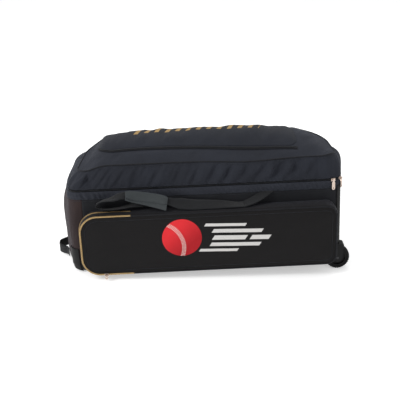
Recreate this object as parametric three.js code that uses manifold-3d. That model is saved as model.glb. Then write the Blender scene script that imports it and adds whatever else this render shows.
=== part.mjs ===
// Wheeled cricket kit bag: a soft hollow body and lid with a zip between them, a box pocket for bats on
// the front, a flat pocket on the lid, webbing handles, and two wheels in housings at the right-hand end.
// Millimetres. X runs from the haul handle to the wheels, the bat pocket faces -Y, +Z is up.
import * as THREE from "three";
import Module from "manifold-3d";
import { mergeVertices } from "three/addons/utils/BufferGeometryUtils.js";

const wasm = await Module();
wasm.setup();

// Body and lid
const bodyHalfLength = 430;
const bodyHalfDepth = 160;
const bodyHeight = 285;
const cornerRadius = 36;
const baseEdge = 22;
const leftBulge = 36;
const rightBulge = 10;
const sideBulge = 6;
const fabric = 2.4;
const trayHeight = 40;
const zipBandWidth = 17;
const coilWidth = 5.4;
const coilThickness = 3.2;
const lidWallHeight = 74;
const lidLean = 18;
const lidEndLean = 12.6;
const lidCornerRadius = 58;
const lidBackCorner = 100;
const lidLeftDrop = 22;
const lidRightDrop = 32;
const lidDropFrom = 300;
const lidRise = 49;
const lidEndPower = 3.6;
const lidLeftEnd = 2;
const lidRightEnd = 15;
const foldDepth = 7;
const pipingRadius = 2.3;
const gap = 0.3;

// Lid pocket
const topPocketHalfLength = 322;
const topPocketCentre = -22;
const topPocketHalfDepth = 80;
const topPocketCorner = 34;
const topPocketPuff = 9;
const topZipWidth = 9;
const topPocketLift = 1.7;
const topZipLeft = -323;
const topZipRight = 288;

// Bat pocket
const pocketLeft = -398;
const pocketRight = 410;
const pocketBottom = 17;
const pocketTop = 220;
const pocketDepth = 56;
const pocketLeftCorner = 58;
const pocketRightCorner = 34;
const pocketCrown = 7;
const pocketFaceReach = 0.85;
const pocketLeastCorner = 4;
const pocketPipingRadius = 2.8;
const goldZipReach = 168;
const goldTrimWidth = 5;
const goldTrimDepth = 0.42;
const pocketPullReach = 92;

// Handles
const strapWidth = 36;
const strapThickness = 2.4;
const gripPad = 4.2;
const gripHeight = 47.8;
const gripThickness = 23;
const haulBow = 30;
const haulSpan = 56;
const haulWidth = 30;
const haulHeight = 38;
const haulStandoff = 0.8;
const backBow = 27;
const backSpan = 205;

// Wheels and housings
const wheelRadius = 40;
const wheelWidth = 27;
const wheelReach = 423;
const axleAboveBase = 9;
const axleRadius = 4;
const tyreDepth = 9;
const tyreRound = 3;
const tyreSeat = 0.86;
const tyreTread = 0.62;
const hubBore = 4.4;
const hubBoss = 10;
const hubRimDepth = 4;
const hubRimReach = 0.82;
const hubWebReach = 0.3;
const wheelClearance = 3.5;
const cheek = 3.7;
const sideClearance = 0.8;
const housingSkin = 6.5;
const housingInset = 2;
const housingEnd = 66;
const bossRadius = 13.6;
const bossFrom = 230;
const bossTo = 350;
const guardThickness = 2.6;
const stripHalfStep = 0.6;

// Zip pulls
const sliderLength = 13;
const sliderWidth = 9;
const sliderThickness = 3.4;
const bailRadius = 1;
const postLength = 1.6;
const postWidth = 3;
const overlap = 0.1;
const eyeRadius = 2.5;
const eyeBore = 1.35;
const eyeLength = 6;
const tabLength = 32;
const pocketTabLength = 14;
const tabWidth = 10;
const tabThickness = 1.8;
const tabHole = 2;
const tabNeck = 2;
const tabShoulder = 6;
const tabHoleOffset = 1;

// Stations round the bag: each side and each corner is cut into this many steps
const steps = { front: 36, corner: 4, end: 6, back: 18 };
const sides = [
  { name: "front", count: steps.front, from: [-1, -1], to: [1, -1], turn: [-90, -90] },
  { name: "frontRight", count: steps.corner, from: [1, -1], to: [1, -1], turn: [-90, 0] },
  { name: "right", count: steps.end, from: [1, -1], to: [1, 1], turn: [0, 0] },
  { name: "backRight", count: steps.corner, from: [1, 1], to: [1, 1], turn: [0, 90] },
  { name: "back", count: steps.back, from: [1, 1], to: [-1, 1], turn: [90, 90] },
  { name: "backLeft", count: steps.corner, from: [-1, 1], to: [-1, 1], turn: [90, 180] },
  { name: "left", count: steps.end, from: [-1, 1], to: [-1, -1], turn: [180, 180] },
  { name: "frontLeft", count: steps.corner, from: [-1, -1], to: [-1, -1], turn: [180, 270] },
];
let count = 0;
for (const side of sides) {
  side.start = count;
  count += side.count;
}
const stationCount = count;

// Upright shape of the walls. height: share of the body height. inset: share of the base edge.
// left, right, side: share of each bulge
const bodySections = [
  { height: 0.0, inset: 1.0, left: 0.3, right: 0.0, side: 0.0 },
  { height: 0.02, inset: 0.46, left: 0.5, right: 0.2, side: 0.1 },
  { height: 0.07, inset: 0.14, left: 0.68, right: 0.5, side: 0.3 },
  { height: 0.16, inset: 0.02, left: 0.78, right: 0.8, side: 0.5 },
  { height: 0.34, inset: 0.0, left: 0.9, right: 1.0, side: 0.8 },
  { height: 0.55, inset: 0.0, left: 1.0, right: 1.0, side: 1.0 },
  { height: 0.72, inset: 0.0, left: 0.98, right: 0.9, side: 0.9 },
  { height: 0.86, inset: 0.0, left: 0.8, right: 0.8, side: 0.6 },
  { height: 1.0, inset: 0.0, left: 0.55, right: 0.75, side: 0.3 },
];
// Lid walls. height: share of the lid wall. lean: share of the lid's lean. end: share of the end bulge
const lidSections = [
  { height: 0.0, lean: 0.0, left: 0.55, right: 0.75, side: 0.3, end: 0.0 },
  { height: 0.35, lean: 0.2, left: 0.34, right: 0.5, side: 0.6, end: 0.6 },
  { height: 0.7, lean: 0.56, left: 0.12, right: 0.2, side: 0.4, end: 0.75 },
  { height: 1.0, lean: 1.0, left: 0.0, right: 0.0, side: 0.0, end: 0.0 },
];
// Slanted folds in the lid's front wall. at: share of the half length. lean: how far the fold moves to
// the right per unit of height. width: share of the half length. depth: share of the fold depth
const foldSections = [
  { at: -0.86, lean: -0.5, width: 0.03, depth: 0.7 },
  { at: -0.68, lean: 0.35, width: 0.028, depth: 0.5 },
  { at: -0.5, lean: 0.4, width: 0.026, depth: 0.6 },
  { at: -0.36, lean: 0.3, width: 0.03, depth: 0.45 },
  { at: -0.19, lean: 0.5, width: 0.026, depth: 0.7 },
  { at: -0.06, lean: 0.45, width: 0.025, depth: 0.8 },
  { at: 0.06, lean: 0.55, width: 0.024, depth: 0.9 },
  { at: 0.17, lean: 0.6, width: 0.024, depth: 1.0 },
  { at: 0.29, lean: 0.6, width: 0.026, depth: 1.0 },
  { at: 0.41, lean: 0.7, width: 0.026, depth: 0.9 },
  { at: 0.53, lean: 0.75, width: 0.025, depth: 1.0 },
  { at: 0.65, lean: 0.8, width: 0.026, depth: 0.8 },
  { at: 0.78, lean: 0.7, width: 0.03, depth: 0.6 },
];
// Lid panel rows. inset: share of the lid's half depth, from the piping to the middle
const lidPanelRows = [0.12, 0.34, 0.62, 0.9];
// Lid pocket rows. inset: share of the pocket's half depth. puff: share of its puff
const topPocketRows = [
  { inset: 0.0, puff: 0.0 },
  { inset: 0.07, puff: 0.55 },
  { inset: 0.22, puff: 0.86 },
  { inset: 0.62, puff: 1.0 },
  { inset: 0.84, puff: 1.0 },
];
// Front handle, from its right-hand end on the wall to its left-hand end behind the grip.
// at: share of the half length. off: share of the pocket depth, out from the wall.
// up: share of the strap width, above the pocket's top. lay: degrees, 0 upright and 90 flat
const handleRoute = [
  { at: 0.43, off: 0.07, up: 1.1, lay: 0 },
  { at: 0.4, off: 0.135, up: 0.8, lay: 10 },
  { at: 0.34, off: 0.2, up: 0.44, lay: 36 },
  { at: 0.27, off: 0.36, up: 0.24, lay: 62 },
  { at: 0.2, off: 0.42, up: 0.17, lay: 74 },
  { at: 0.1, off: 0.44, up: 0.17, lay: 74 },
  { at: 0.0, off: 0.44, up: 0.17, lay: 74 },
  { at: -0.09, off: 0.46, up: 0.22, lay: 68 },
  { at: -0.16, off: 0.49, up: 0.42, lay: 48 },
  { at: -0.22, off: 0.52, up: 0.68, lay: 24 },
  { at: -0.27, off: 0.54, up: 0.86, lay: 14 },
  { at: -0.33, off: 0.55, up: 1.0, lay: 10 },
  { at: -0.43, off: 0.55, up: 1.2, lay: 8 },
  { at: -0.54, off: 0.55, up: 1.36, lay: 6 },
  { at: -0.61, off: 0.54, up: 1.36, lay: 4 },
  { at: -0.69, off: 0.5, up: 1.24, lay: 2 },
  { at: -0.76, off: 0.44, up: 1.1, lay: 0 },
  { at: -0.795, off: 0.28, up: 1.0, lay: 0 },
  { at: -0.76, off: 0.13, up: 0.9, lay: 0 },
  { at: -0.68, off: 0.1, up: 0.8, lay: 0 },
  { at: -0.57, off: 0.07, up: 0.72, lay: 0 },
  { at: -0.5, off: 0.03, up: 0.7, lay: 0 },
];
// Grip along the handle. from, to: share of the half length
const gripSpan = { from: -0.285, to: -0.57 };

// Value of one column of a table at a share between its rows
function column(table, key, name, at) {
  let i = 0;
  while (i < table.length - 2 && at > table[i + 1][key]) i += 1;
  const low = table[i];
  const high = table[i + 1];
  const share = THREE.MathUtils.clamp((at - low[key]) / (high[key] - low[key]), 0, 1);
  return THREE.MathUtils.lerp(low[name], high[name], share);
}

// Place on a rounded rectangle: sx and sy run from -1 to 1 along the straights, nx and ny point outwards
function station(k) {
  const at = ((k % stationCount) + stationCount) % stationCount;
  const side = sides.findLast((one) => one.start <= at);
  const share = (at - side.start) / side.count;
  const turn = THREE.MathUtils.degToRad(THREE.MathUtils.lerp(...side.turn, share));
  return {
    sx: THREE.MathUtils.lerp(side.from[0], side.to[0], share),
    sy: THREE.MathUtils.lerp(side.from[1], side.to[1], share),
    nx: Math.cos(turn),
    ny: Math.sin(turn),
  };
}

function rim({ sx, sy, nx, ny }, halfLength, halfDepth, radius) {
  return [sx * (halfLength - radius) + nx * radius, sy * (halfDepth - radius) + ny * radius];
}

// Rows near the middle keep this share of their half depth as their corner radius
const roundShare = 0.7;
// How far along an end its bulge has died away at the corner
const endReach = 0.74;
const easeEdge = (share) => (1 - share * share) ** 2;
const easeSide = (share) => 1 - share ** 4;

// The lid's edge sinks at its left-hand end, and towards the back of its right-hand end
const lidHalfLength = bodyHalfLength - lidEndLean;
const lidHalfDepth = bodyHalfDepth - lidLean;
const pipingHeight = bodyHeight + lidWallHeight;
const backwardShift = 0.12;
const smooth = (share) => THREE.MathUtils.smoothstep(share, 0, 1);
function pipingHeightAt(x, y) {
  const run = lidHalfLength - lidDropFrom;
  const left = smooth((-x - lidDropFrom) / run);
  const right = smooth((x - lidDropFrom) / run) * smooth((y / lidHalfDepth + 1) / 2 + backwardShift);
  return pipingHeight - lidLeftDrop * left - lidRightDrop * right;
}

// Lid surface inside the piping
function lidHeightAt(x, y) {
  const across = Math.min(Math.abs(y) / lidHalfDepth, 1);
  const along = Math.min(Math.abs(x) / lidHalfLength, 1);
  return pipingHeightAt(x, y) + lidRise * (1 - across ** 2) * (1 - along ** lidEndPower);
}

// Radius of the lid's corners, which grows from the front ones to the back ones
const lidCornerAt = (sy) => THREE.MathUtils.lerp(lidCornerRadius, lidBackCorner, (sy + 1) / 2);

function foldAt(x, share) {
  let depth = 0;
  for (const fold of foldSections) {
    const middle = fold.at * bodyHalfLength + fold.lean * (share - 0.5) * lidWallHeight;
    depth += fold.depth * Math.exp(-(((x - middle) / (fold.width * bodyHalfLength)) ** 2));
  }
  return -foldDepth * depth * Math.sin(Math.PI * THREE.MathUtils.clamp(share, 0, 1));
}

// Wall surface of the body at a station and a height
function bodyPoint(k, height) {
  const s = station(k);
  const share = height / bodyHeight;
  const inset = baseEdge * column(bodySections, "height", "inset", share);
  const [x, y] = rim(s, bodyHalfLength - inset, bodyHalfDepth - inset, cornerRadius - inset / 2);
  const end = s.nx < 0 ? leftBulge * column(bodySections, "height", "left", share)
    : rightBulge * column(bodySections, "height", "right", share);
  const side = sideBulge * column(bodySections, "height", "side", share);
  const outX = s.nx * end * easeEdge(s.sy * endReach);
  const outY = s.ny * side * easeSide(s.sx);
  return new THREE.Vector3(x + outX, y + outY, height);
}

// Wall surface of the lid at a station and a share of its wall height. Where the edge sinks, the part
// of the wall between the coil and the piping gets lower
const lidStart = (coilWidth / 2 + 4 * gap) / lidWallHeight;
const pipingShare = (pipingRadius + gap) / lidWallHeight;
function lidWallPoint(k, share) {
  const s = station(k);
  const lean = column(lidSections, "height", "lean", share);
  const radius = THREE.MathUtils.lerp(cornerRadius, lidCornerAt(s.sy), share);
  const [x, y] = rim(s, bodyHalfLength - lean * lidEndLean, bodyHalfDepth - lean * lidLean, radius);
  const extra = (s.nx < 0 ? lidLeftEnd : lidRightEnd) * column(lidSections, "height", "end", share);
  const end = extra + (s.nx < 0 ? leftBulge * column(lidSections, "height", "left", share)
    : rightBulge * column(lidSections, "height", "right", share));
  const side = sideBulge * column(lidSections, "height", "side", share);
  const outX = s.nx * end * easeEdge(s.sy * endReach);
  const fold = s.ny < -0.99 ? foldAt(x, share) : 0;
  const outY = s.ny * (side * easeSide(s.sx) + fold);
  const sunk = pipingHeight - lidHeightAt(x, y);
  const middle = THREE.MathUtils.clamp((share - lidStart) / (1 - pipingShare - lidStart), 0, 1);
  return new THREE.Vector3(x + outX, y + outY, bodyHeight + share * lidWallHeight - sunk * middle);
}

// Lid panel surface at a station and an inset share
function lidPoint(k, inset) {
  const s = station(k);
  const drop = inset * lidHalfDepth;
  const radius = Math.min(lidCornerAt(s.sy), (lidHalfDepth - drop) * roundShare);
  const [x, y] = rim(s, lidHalfLength - drop, lidHalfDepth - drop, radius);
  return new THREE.Vector3(x, y, lidHeightAt(x, y));
}

// Lid pocket surface at a station and an inset share
function topPocketPoint(k, inset) {
  const s = station(k);
  const drop = inset * topPocketHalfDepth;
  const radius = Math.min(topPocketCorner, (topPocketHalfDepth - drop) * roundShare);
  const [x, y] = rim(s, topPocketHalfLength - drop, topPocketHalfDepth - drop, radius);
  const puff = topPocketPuff * column(topPocketRows, "inset", "puff", inset);
  return new THREE.Vector3(x + topPocketCentre, y, lidHeightAt(x + topPocketCentre, y) + puff);
}

// Front wall of the body, in front view
function frontWallAt(x, z) {
  const straight = bodyHalfLength - cornerRadius;
  const share = THREE.MathUtils.clamp(x / straight, -1, 1);
  const side = sideBulge * column(bodySections, "height", "side", z / bodyHeight);
  return -bodyHalfDepth - side * easeSide(share);
}

// Bat pocket: a rounded rectangle in front view, counted anticlockwise from its top right
const pocketSteps = { long: 10, short: 4, corner: 4 };
const pocketSides = [
  { count: pocketSteps.long, from: [1, 1], to: [-1, 1], turn: [90, 90] },
  { count: pocketSteps.corner, from: [-1, 1], to: [-1, 1], turn: [90, 180] },
  { count: pocketSteps.short, from: [-1, 1], to: [-1, -1], turn: [180, 180] },
  { count: pocketSteps.corner, from: [-1, -1], to: [-1, -1], turn: [180, 270] },
  { count: pocketSteps.long, from: [-1, -1], to: [1, -1], turn: [270, 270] },
  { count: pocketSteps.corner, from: [1, -1], to: [1, -1], turn: [270, 360] },
  { count: pocketSteps.short, from: [1, -1], to: [1, 1], turn: [0, 0] },
  { count: pocketSteps.corner, from: [1, 1], to: [1, 1], turn: [0, 90] },
];
let pocketCount = 0;
for (const side of pocketSides) {
  side.start = pocketCount;
  pocketCount += side.count;
}
const pocketHalfLength = (pocketRight - pocketLeft) / 2;
const pocketHalfHeight = (pocketTop - pocketBottom) / 2;
const pocketMiddle = [(pocketRight + pocketLeft) / 2, (pocketTop + pocketBottom) / 2];
const pocketFront = -bodyHalfDepth - pocketDepth;

function pocketOutline(k, inset) {
  const at = ((k % pocketCount) + pocketCount) % pocketCount;
  const side = pocketSides.findLast((one) => one.start <= at);
  const share = (at - side.start) / side.count;
  const turn = THREE.MathUtils.degToRad(THREE.MathUtils.lerp(...side.turn, share));
  const sx = THREE.MathUtils.lerp(side.from[0], side.to[0], share);
  const sz = THREE.MathUtils.lerp(side.from[1], side.to[1], share);
  const corner = THREE.MathUtils.lerp(pocketLeftCorner, pocketRightCorner, (sx + 1) / 2);
  const radius = Math.max(corner - inset, pocketLeastCorner);
  const x = sx * (pocketHalfLength - inset - radius) + Math.cos(turn) * radius;
  const z = sz * (pocketHalfHeight - inset - radius) + Math.sin(turn) * radius;
  return [x + pocketMiddle[0], z + pocketMiddle[1]];
}

// Side wall of the bat pocket: depth runs from 0 at the body to 1 at the face
function pocketWallPoint(k, depth) {
  const [x, z] = pocketOutline(k, 0);
  const back = frontWallAt(x, z) - gap - 2 * pocketPipingRadius - gap;
  const front = pocketFront + 2 * pocketPipingRadius + gap;
  return new THREE.Vector3(x, THREE.MathUtils.lerp(back, front, depth), z);
}

// Face of the bat pocket: reach runs from 0 at its edge to 1 at the middle line
function pocketFacePoint(k, reach) {
  const inset = 2 * pocketPipingRadius + gap + reach * pocketHalfHeight * pocketFaceReach;
  const [x, z] = pocketOutline(k, inset);
  return new THREE.Vector3(x, pocketFront - pocketCrown * (1 - (1 - reach) ** 2), z);
}

function normalAt(point, k, t, dk, dt) {
  const along = point(k + dk, t).sub(point(k - dk, t));
  const up = point(k, t + dt).sub(point(k, t - dt));
  return along.cross(up).normalize();
}

// Closed solid between two offsets of a surface. A ring may be capped at its first or last row
function skin({ point, around, along, inner = -fabric, outer = 0, closed = false, cap = null,
  plane = ["x", "y"], dk = 0.05, dt = 0.01 }) {
  const positions = [];
  const faces = [];
  const width = around.length;
  const layers = [outer, inner].map((offset) => along.map((t) => around.map((k) => {
    const normal = normalAt(point, k, t, dk, dt);
    const place = point(k, t).addScaledVector(normal, offset);
    positions.push(place.x, place.y, place.z);
    return positions.length / 3 - 1;
  })));
  const quad = (a, b, c, d) => faces.push(a, b, c, a, c, d);
  const spans = closed ? width : width - 1;
  for (let j = 0; j < along.length - 1; j += 1) {
    for (let i = 0; i < spans; i += 1) {
      const n = (i + 1) % width;
      quad(layers[0][j][i], layers[0][j][n], layers[0][j + 1][n], layers[0][j + 1][i]);
      quad(layers[1][j][n], layers[1][j][i], layers[1][j + 1][i], layers[1][j + 1][n]);
    }
    if (!closed) {
      quad(layers[1][j][0], layers[0][j][0], layers[0][j + 1][0], layers[1][j + 1][0]);
      quad(layers[0][j][width - 1], layers[1][j][width - 1], layers[1][j + 1][width - 1],
        layers[0][j + 1][width - 1]);
    }
  }
  const last = along.length - 1;
  const capRow = (row, first) => layers.forEach((layer, inside) => {
    const flat = layer[row].map((v) => {
      const place = new THREE.Vector3().fromArray(positions, v * 3);
      return new THREE.Vector2(place[plane[0]], place[plane[1]]);
    });
    for (const [a, b, c] of THREE.ShapeUtils.triangulateShape(flat, [])) {
      const turned = [layer[row][a], layer[row][b], layer[row][c]];
      faces.push(...((inside === 1) === first ? turned : turned.reverse()));
    }
  });
  for (let i = 0; i < spans; i += 1) {
    const n = (i + 1) % width;
    if (cap !== "first") quad(layers[1][0][i], layers[1][0][n], layers[0][0][n], layers[0][0][i]);
    if (cap !== "last") {
      quad(layers[0][last][i], layers[0][last][n], layers[1][last][n], layers[1][last][i]);
    }
  }
  if (cap === "first") capRow(0, true);
  if (cap === "last") capRow(last, false);
  return fromArrays(positions, faces);
}

function fromArrays(positions, faces) {
  const geometry = new THREE.BufferGeometry();
  geometry.setAttribute("position", new THREE.Float32BufferAttribute(positions, 3));
  geometry.setIndex(faces);
  return geometry;
}

// Round bar along a path of points, closed on itself or with flat ends. level: a direction that stays
// across the path
const upward = new THREE.Vector3(0, 0, 1);
const backward = new THREE.Vector3(0, 1, 0);
function bar(points, radius, sideCount, closed, level) {
  const positions = [];
  const faces = [];
  const total = points.length;
  points.forEach((place, i) => {
    const before = closed || i > 0 ? points[(i - 1 + total) % total] : place;
    const after = closed || i < total - 1 ? points[(i + 1) % total] : place;
    const ahead = after.clone().sub(before).normalize();
    const out = ahead.clone().cross(level).normalize();
    const up = out.clone().cross(ahead);
    for (let s = 0; s < sideCount; s += 1) {
      const angle = (2 * Math.PI * (s + 0.5)) / sideCount;
      const spot = place.clone().addScaledVector(out, Math.cos(angle) * radius)
        .addScaledVector(up, Math.sin(angle) * radius);
      positions.push(spot.x, spot.y, spot.z);
    }
  });
  const spans = closed ? total : total - 1;
  for (let i = 0; i < spans; i += 1) {
    const n = (i + 1) % total;
    for (let s = 0; s < sideCount; s += 1) {
      const t = (s + 1) % sideCount;
      const [a, b, c, d] = [i * sideCount + s, i * sideCount + t, n * sideCount + t, n * sideCount + s];
      faces.push(a, c, b, a, d, c);
    }
  }
  if (!closed) {
    const end = (total - 1) * sideCount;
    for (let s = 1; s < sideCount - 1; s += 1) {
      faces.push(0, s, s + 1, end, end + s + 1, end + s);
    }
  }
  return outward(fromArrays(positions, faces));
}

// Turns a mesh's faces outwards if its volume comes out negative
function outward(geometry) {
  const place = geometry.attributes.position;
  const index = geometry.index.array;
  const [a, b, c] = [new THREE.Vector3(), new THREE.Vector3(), new THREE.Vector3()];
  let volume = 0;
  for (let i = 0; i < index.length; i += 3) {
    a.fromBufferAttribute(place, index[i]);
    b.fromBufferAttribute(place, index[i + 1]);
    c.fromBufferAttribute(place, index[i + 2]);
    volume += a.dot(b.cross(c));
  }
  if (volume < 0) {
    for (let i = 0; i < index.length; i += 3) [index[i], index[i + 1]] = [index[i + 1], index[i]];
  }
  return geometry;
}

function toSolid(geometry) {
  const clean = geometry.clone();
  clean.deleteAttribute("normal");
  clean.deleteAttribute("uv");
  const merged = mergeVertices(clean, 1e-4);
  const vertProperties = new Float32Array(merged.attributes.position.array);
  const triVerts = new Uint32Array(merged.index.array);
  return new wasm.Manifold(new wasm.Mesh({ numProp: 3, vertProperties, triVerts }));
}

function toGeometry(solid) {
  const mesh = solid.getMesh();
  return fromArrays(Array.from(mesh.vertProperties), Array.from(mesh.triVerts));
}

const cut = (geometry, tools) => toGeometry(tools.reduce((solid, tool) => solid.subtract(toSolid(tool)),
  toSolid(geometry)));
const join = (pieces) => toGeometry(pieces.map(toSolid).reduce((all, one) => all.add(one)));

const range = (from, to, parts) => Array.from({ length: parts + 1 },
  (unused, i) => THREE.MathUtils.lerp(from, to, i / parts));

// Places along the ring
const everyStation = range(0, stationCount - 1, stationCount - 1);
const onCorner = (k) => Math.abs(station(k).nx * station(k).ny) > 0.01;
const everySecond = everyStation.filter((k) => k % 2 === 0 || onCorner(k));
const startOf = Object.fromEntries(sides.map((side) => [side.name, side.start]));
const half = steps.corner / 2;
const seam = {
  frontLeft: startOf.frontLeft + half,
  frontRight: startOf.frontRight + half,
  backRight: startOf.backRight + half,
  backLeft: startOf.backLeft + half,
};
const seamGap = 0.012;

const bag = new THREE.Group();
const tilted = new THREE.Group();
bag.add(tilted);
const material = (color, roughness, metalness = 0) => new THREE.MeshStandardMaterial({
  color, roughness, metalness,
});
const navy = material(0x2b2e38, 0.85);
const black = material(0x1b1a1d, 0.9);
const brown = material(0x2c2424, 0.85);
const webbing = material(0x1f2024, 0.9);
const padding = material(0x4a5050, 0.8);
const plastic = material(0x17181a, 0.45);
const rubber = material(0x101011, 0.8);
const gold = material(0xb58c50, 0.4, 0.6);
const metal = material(0xb9a795, 0.3, 0.9);

function add(name, geometry, look, parent = tilted) {
  const mesh = new THREE.Mesh(geometry, look);
  mesh.name = name;
  parent.add(mesh);
  return mesh;
}

// Wheel housing: an arch and two cheeks round the wheel. grow makes the pocket that it is let into
const housingHalfWidth = wheelWidth / 2 + sideClearance + cheek;
const housingOuter = wheelRadius + wheelClearance + housingSkin;
const wheelLine = bodyHalfDepth - housingInset - housingHalfWidth;
function housingBlock(side, grow) {
  const outer = housingOuter + grow;
  const boss = bossRadius + grow;
  const shape = new THREE.Shape();
  shape.absarc(0, 0, outer, THREE.MathUtils.degToRad(housingEnd), Math.PI, false);
  shape.lineTo(-outer, -boss / 2);
  shape.lineTo(-boss, -boss);
  shape.absarc(0, 0, boss, THREE.MathUtils.degToRad(bossFrom), THREE.MathUtils.degToRad(bossTo), false);
  const depth = 2 * (housingHalfWidth + grow);
  const block = new THREE.ExtrudeGeometry(shape, { depth, bevelEnabled: false, curveSegments: 9 });
  block.rotateX(Math.PI / 2);
  block.translate(wheelReach, side * wheelLine + depth / 2, axleAboveBase);
  return block;
}
const housingRooms = [-1, 1].map((side) => housingBlock(side, gap));

// Base and walls
const trayRows = [0, 0.02, 0.07].map((share) => share * bodyHeight).concat(trayHeight - gap);
const tray = skin({
  point: bodyPoint,
  around: everySecond,
  along: trayRows,
  closed: true,
  cap: "first",
  dt: 1,
});
add("base_tray", cut(tray, housingRooms), plastic);

const wallTop = bodyHeight - coilWidth / 2 - gap - zipBandWidth;
const wallRows = [trayHeight + gap, ...[0.3, 0.55, 0.8].map((share) => share * bodyHeight), wallTop];
// The walls' own stations between two places, with the places themselves at the ends
const stationsBetween = (from, to) => [from, ...everySecond.concat(everySecond.map((k) => k - stationCount))
  .filter((k) => k > from && k < to).sort((a, b) => a - b), to];
const wall = (from, to) => skin({
  point: bodyPoint,
  around: stationsBetween(from + seamGap, to - seamGap),
  along: wallRows,
  dt: 1,
});
add("front_panel", cut(wall(seam.frontLeft - stationCount, seam.frontRight), housingRooms), black);
add("back_panel", cut(wall(seam.backRight, seam.backLeft), housingRooms), navy);
add("right_end_panel", cut(wall(seam.frontRight, seam.backRight), housingRooms), plastic);
add("left_end_panel", wall(seam.backLeft, seam.frontLeft), brown);

// Main zip
const coilLow = bodyHeight - coilWidth / 2;
add("zip_band", skin({
  point: bodyPoint,
  around: everySecond,
  along: [wallTop + gap, coilLow - gap],
  closed: true,
  dt: 1,
}), navy);
add("zip_coil", skin({
  point: bodyPoint,
  around: everySecond,
  along: [coilLow, coilLow + coilWidth],
  outer: (coilThickness - fabric) / 2,
  inner: -(coilThickness + fabric) / 2,
  closed: true,
  dt: 1,
}), plastic);

// Lid
add("lid_gusset", skin({
  point: lidWallPoint,
  around: everyStation.filter((k) => k < steps.front || everySecond.includes(k)),
  along: [lidStart, 0.32, 0.66, 1 - pipingShare],
  closed: true,
}), navy);
const pipingPath = everySecond.map((k) => {
  const place = lidWallPoint(k, 1);
  return place.addScaledVector(normalAt(lidWallPoint, k, 1, 0.05, 0.01), -fabric / 2);
});
add("lid_piping", bar(pipingPath, pipingRadius, 4, true, upward), black);
const firstInset = (pipingRadius + 3 * gap) / lidHalfDepth;
const lidRows = [firstInset, ...lidPanelRows];
add("lid_panel", skin({
  point: lidPoint,
  around: everySecond,
  along: lidRows,
  closed: true,
  cap: "last",
}), navy);

// Lid pocket and its zip
add("top_pocket", skin({
  point: topPocketPoint,
  around: everyStation.filter((k) => k % 3 === 0),
  along: topPocketRows.map((row) => row.inset),
  inner: topPocketLift,
  outer: topPocketLift + fabric,
  closed: true,
  cap: "last",
}), navy);
const topZipPoint = (x, y) => new THREE.Vector3(x, y, lidHeightAt(x, y));
const topZipBack = -topPocketHalfDepth - fabric - 3 * gap;
add("top_pocket_zip", skin({
  point: topZipPoint,
  around: range(topZipLeft, topZipRight, 16),
  along: [topZipBack - topZipWidth, topZipBack],
  inner: topPocketLift,
  outer: topPocketLift + fabric,
  dk: 1,
  dt: 1,
}), plastic);

// Bat pocket
const pocketRing = range(0, pocketCount - 1, pocketCount - 1);
add("pocket_gusset", skin({
  point: pocketWallPoint,
  around: pocketRing,
  along: [0, 1],
  closed: true,
}), black);
add("pocket_face", skin({
  point: pocketFacePoint,
  around: pocketRing,
  along: [0, 0.25, 0.9],
  closed: true,
  cap: "last",
  plane: ["x", "z"],
}), black);
const edgePoint = (k) => {
  const [x, z] = pocketOutline(k, pocketPipingRadius);
  return new THREE.Vector3(x, pocketFront + pocketPipingRadius, z);
};
const backEdgePoint = (k) => {
  const [x, z] = pocketOutline(k, pocketPipingRadius);
  return new THREE.Vector3(x, frontWallAt(x, z) - gap - pocketPipingRadius, z);
};
const longStep = (2 * pocketHalfLength - pocketLeftCorner - pocketRightCorner) / pocketSteps.long;
const goldSteps = (goldZipReach - pocketLeftCorner) / longStep;
const goldFrom = pocketSteps.long - goldSteps;
const goldTo = pocketSteps.long + 2 * pocketSteps.corner + pocketSteps.short + goldSteps;
const leastStep = 0.2;
const stepsBetween = (from, to) => [from, ...pocketRing.concat(pocketRing.map((k) => k + pocketCount))
  .filter((k) => k > from + leastStep && k < to - leastStep), to];
const endGap = gap / longStep;
const edgePath = (from, to, place) => stepsBetween(from, to).map(place);
const edgeBar = (from, to, place) => bar(edgePath(from, to, place), pocketPipingRadius, 5, false, backward);
add("pocket_zip_gold", edgeBar(goldFrom, goldTo, edgePoint), gold);
add("pocket_piping", edgeBar(goldTo + endGap, pocketCount + goldFrom - endGap, edgePoint), black);
add("pocket_back_piping", bar(pocketRing.map(backEdgePoint), pocketPipingRadius, 4, true, backward), black);
const wallRun = pocketDepth - 4 * pocketPipingRadius - 3 * gap;
add("pocket_trim_gold", skin({
  point: pocketWallPoint,
  around: stepsBetween(goldFrom, goldTo),
  along: [goldTrimDepth, goldTrimDepth + goldTrimWidth / wallRun],
  inner: gap,
  outer: gap + fabric / 2,
}), gold);

// Flat strap along a route of { place, lay } with its width turned by lay
function strapFrames(route) {
  const curve = new THREE.CatmullRomCurve3(route.map((row) => row.place), false, "centripetal");
  curve.arcLengthDivisions = 400;
  const lays = route.map((row, i) => ({ share: i / (route.length - 1), lay: row.lay }));
  return (share) => {
    const t = curve.getUtoTmapping(share);
    const place = curve.getPoint(t);
    const ahead = curve.getTangent(t).normalize();
    const lay = THREE.MathUtils.degToRad(column(lays, "share", "lay", t));
    const across = new THREE.Vector3(0, -Math.sin(lay), -Math.cos(lay));
    across.addScaledVector(ahead, -across.dot(ahead)).normalize();
    return { place, across, face: ahead.clone().cross(across) };
  };
}

function strap(route, width, parts) {
  const frame = strapFrames(route);
  const point = (share, side) => {
    const { place, across } = frame(THREE.MathUtils.clamp(share, 0, 1));
    return place.clone().addScaledVector(across, (side * width) / 2);
  };
  return outward(skin({
    point,
    around: range(0, 1, parts),
    along: [-1, 1],
    inner: -strapThickness / 2,
    outer: strapThickness / 2,
    dk: 0.002,
  }));
}

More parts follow.
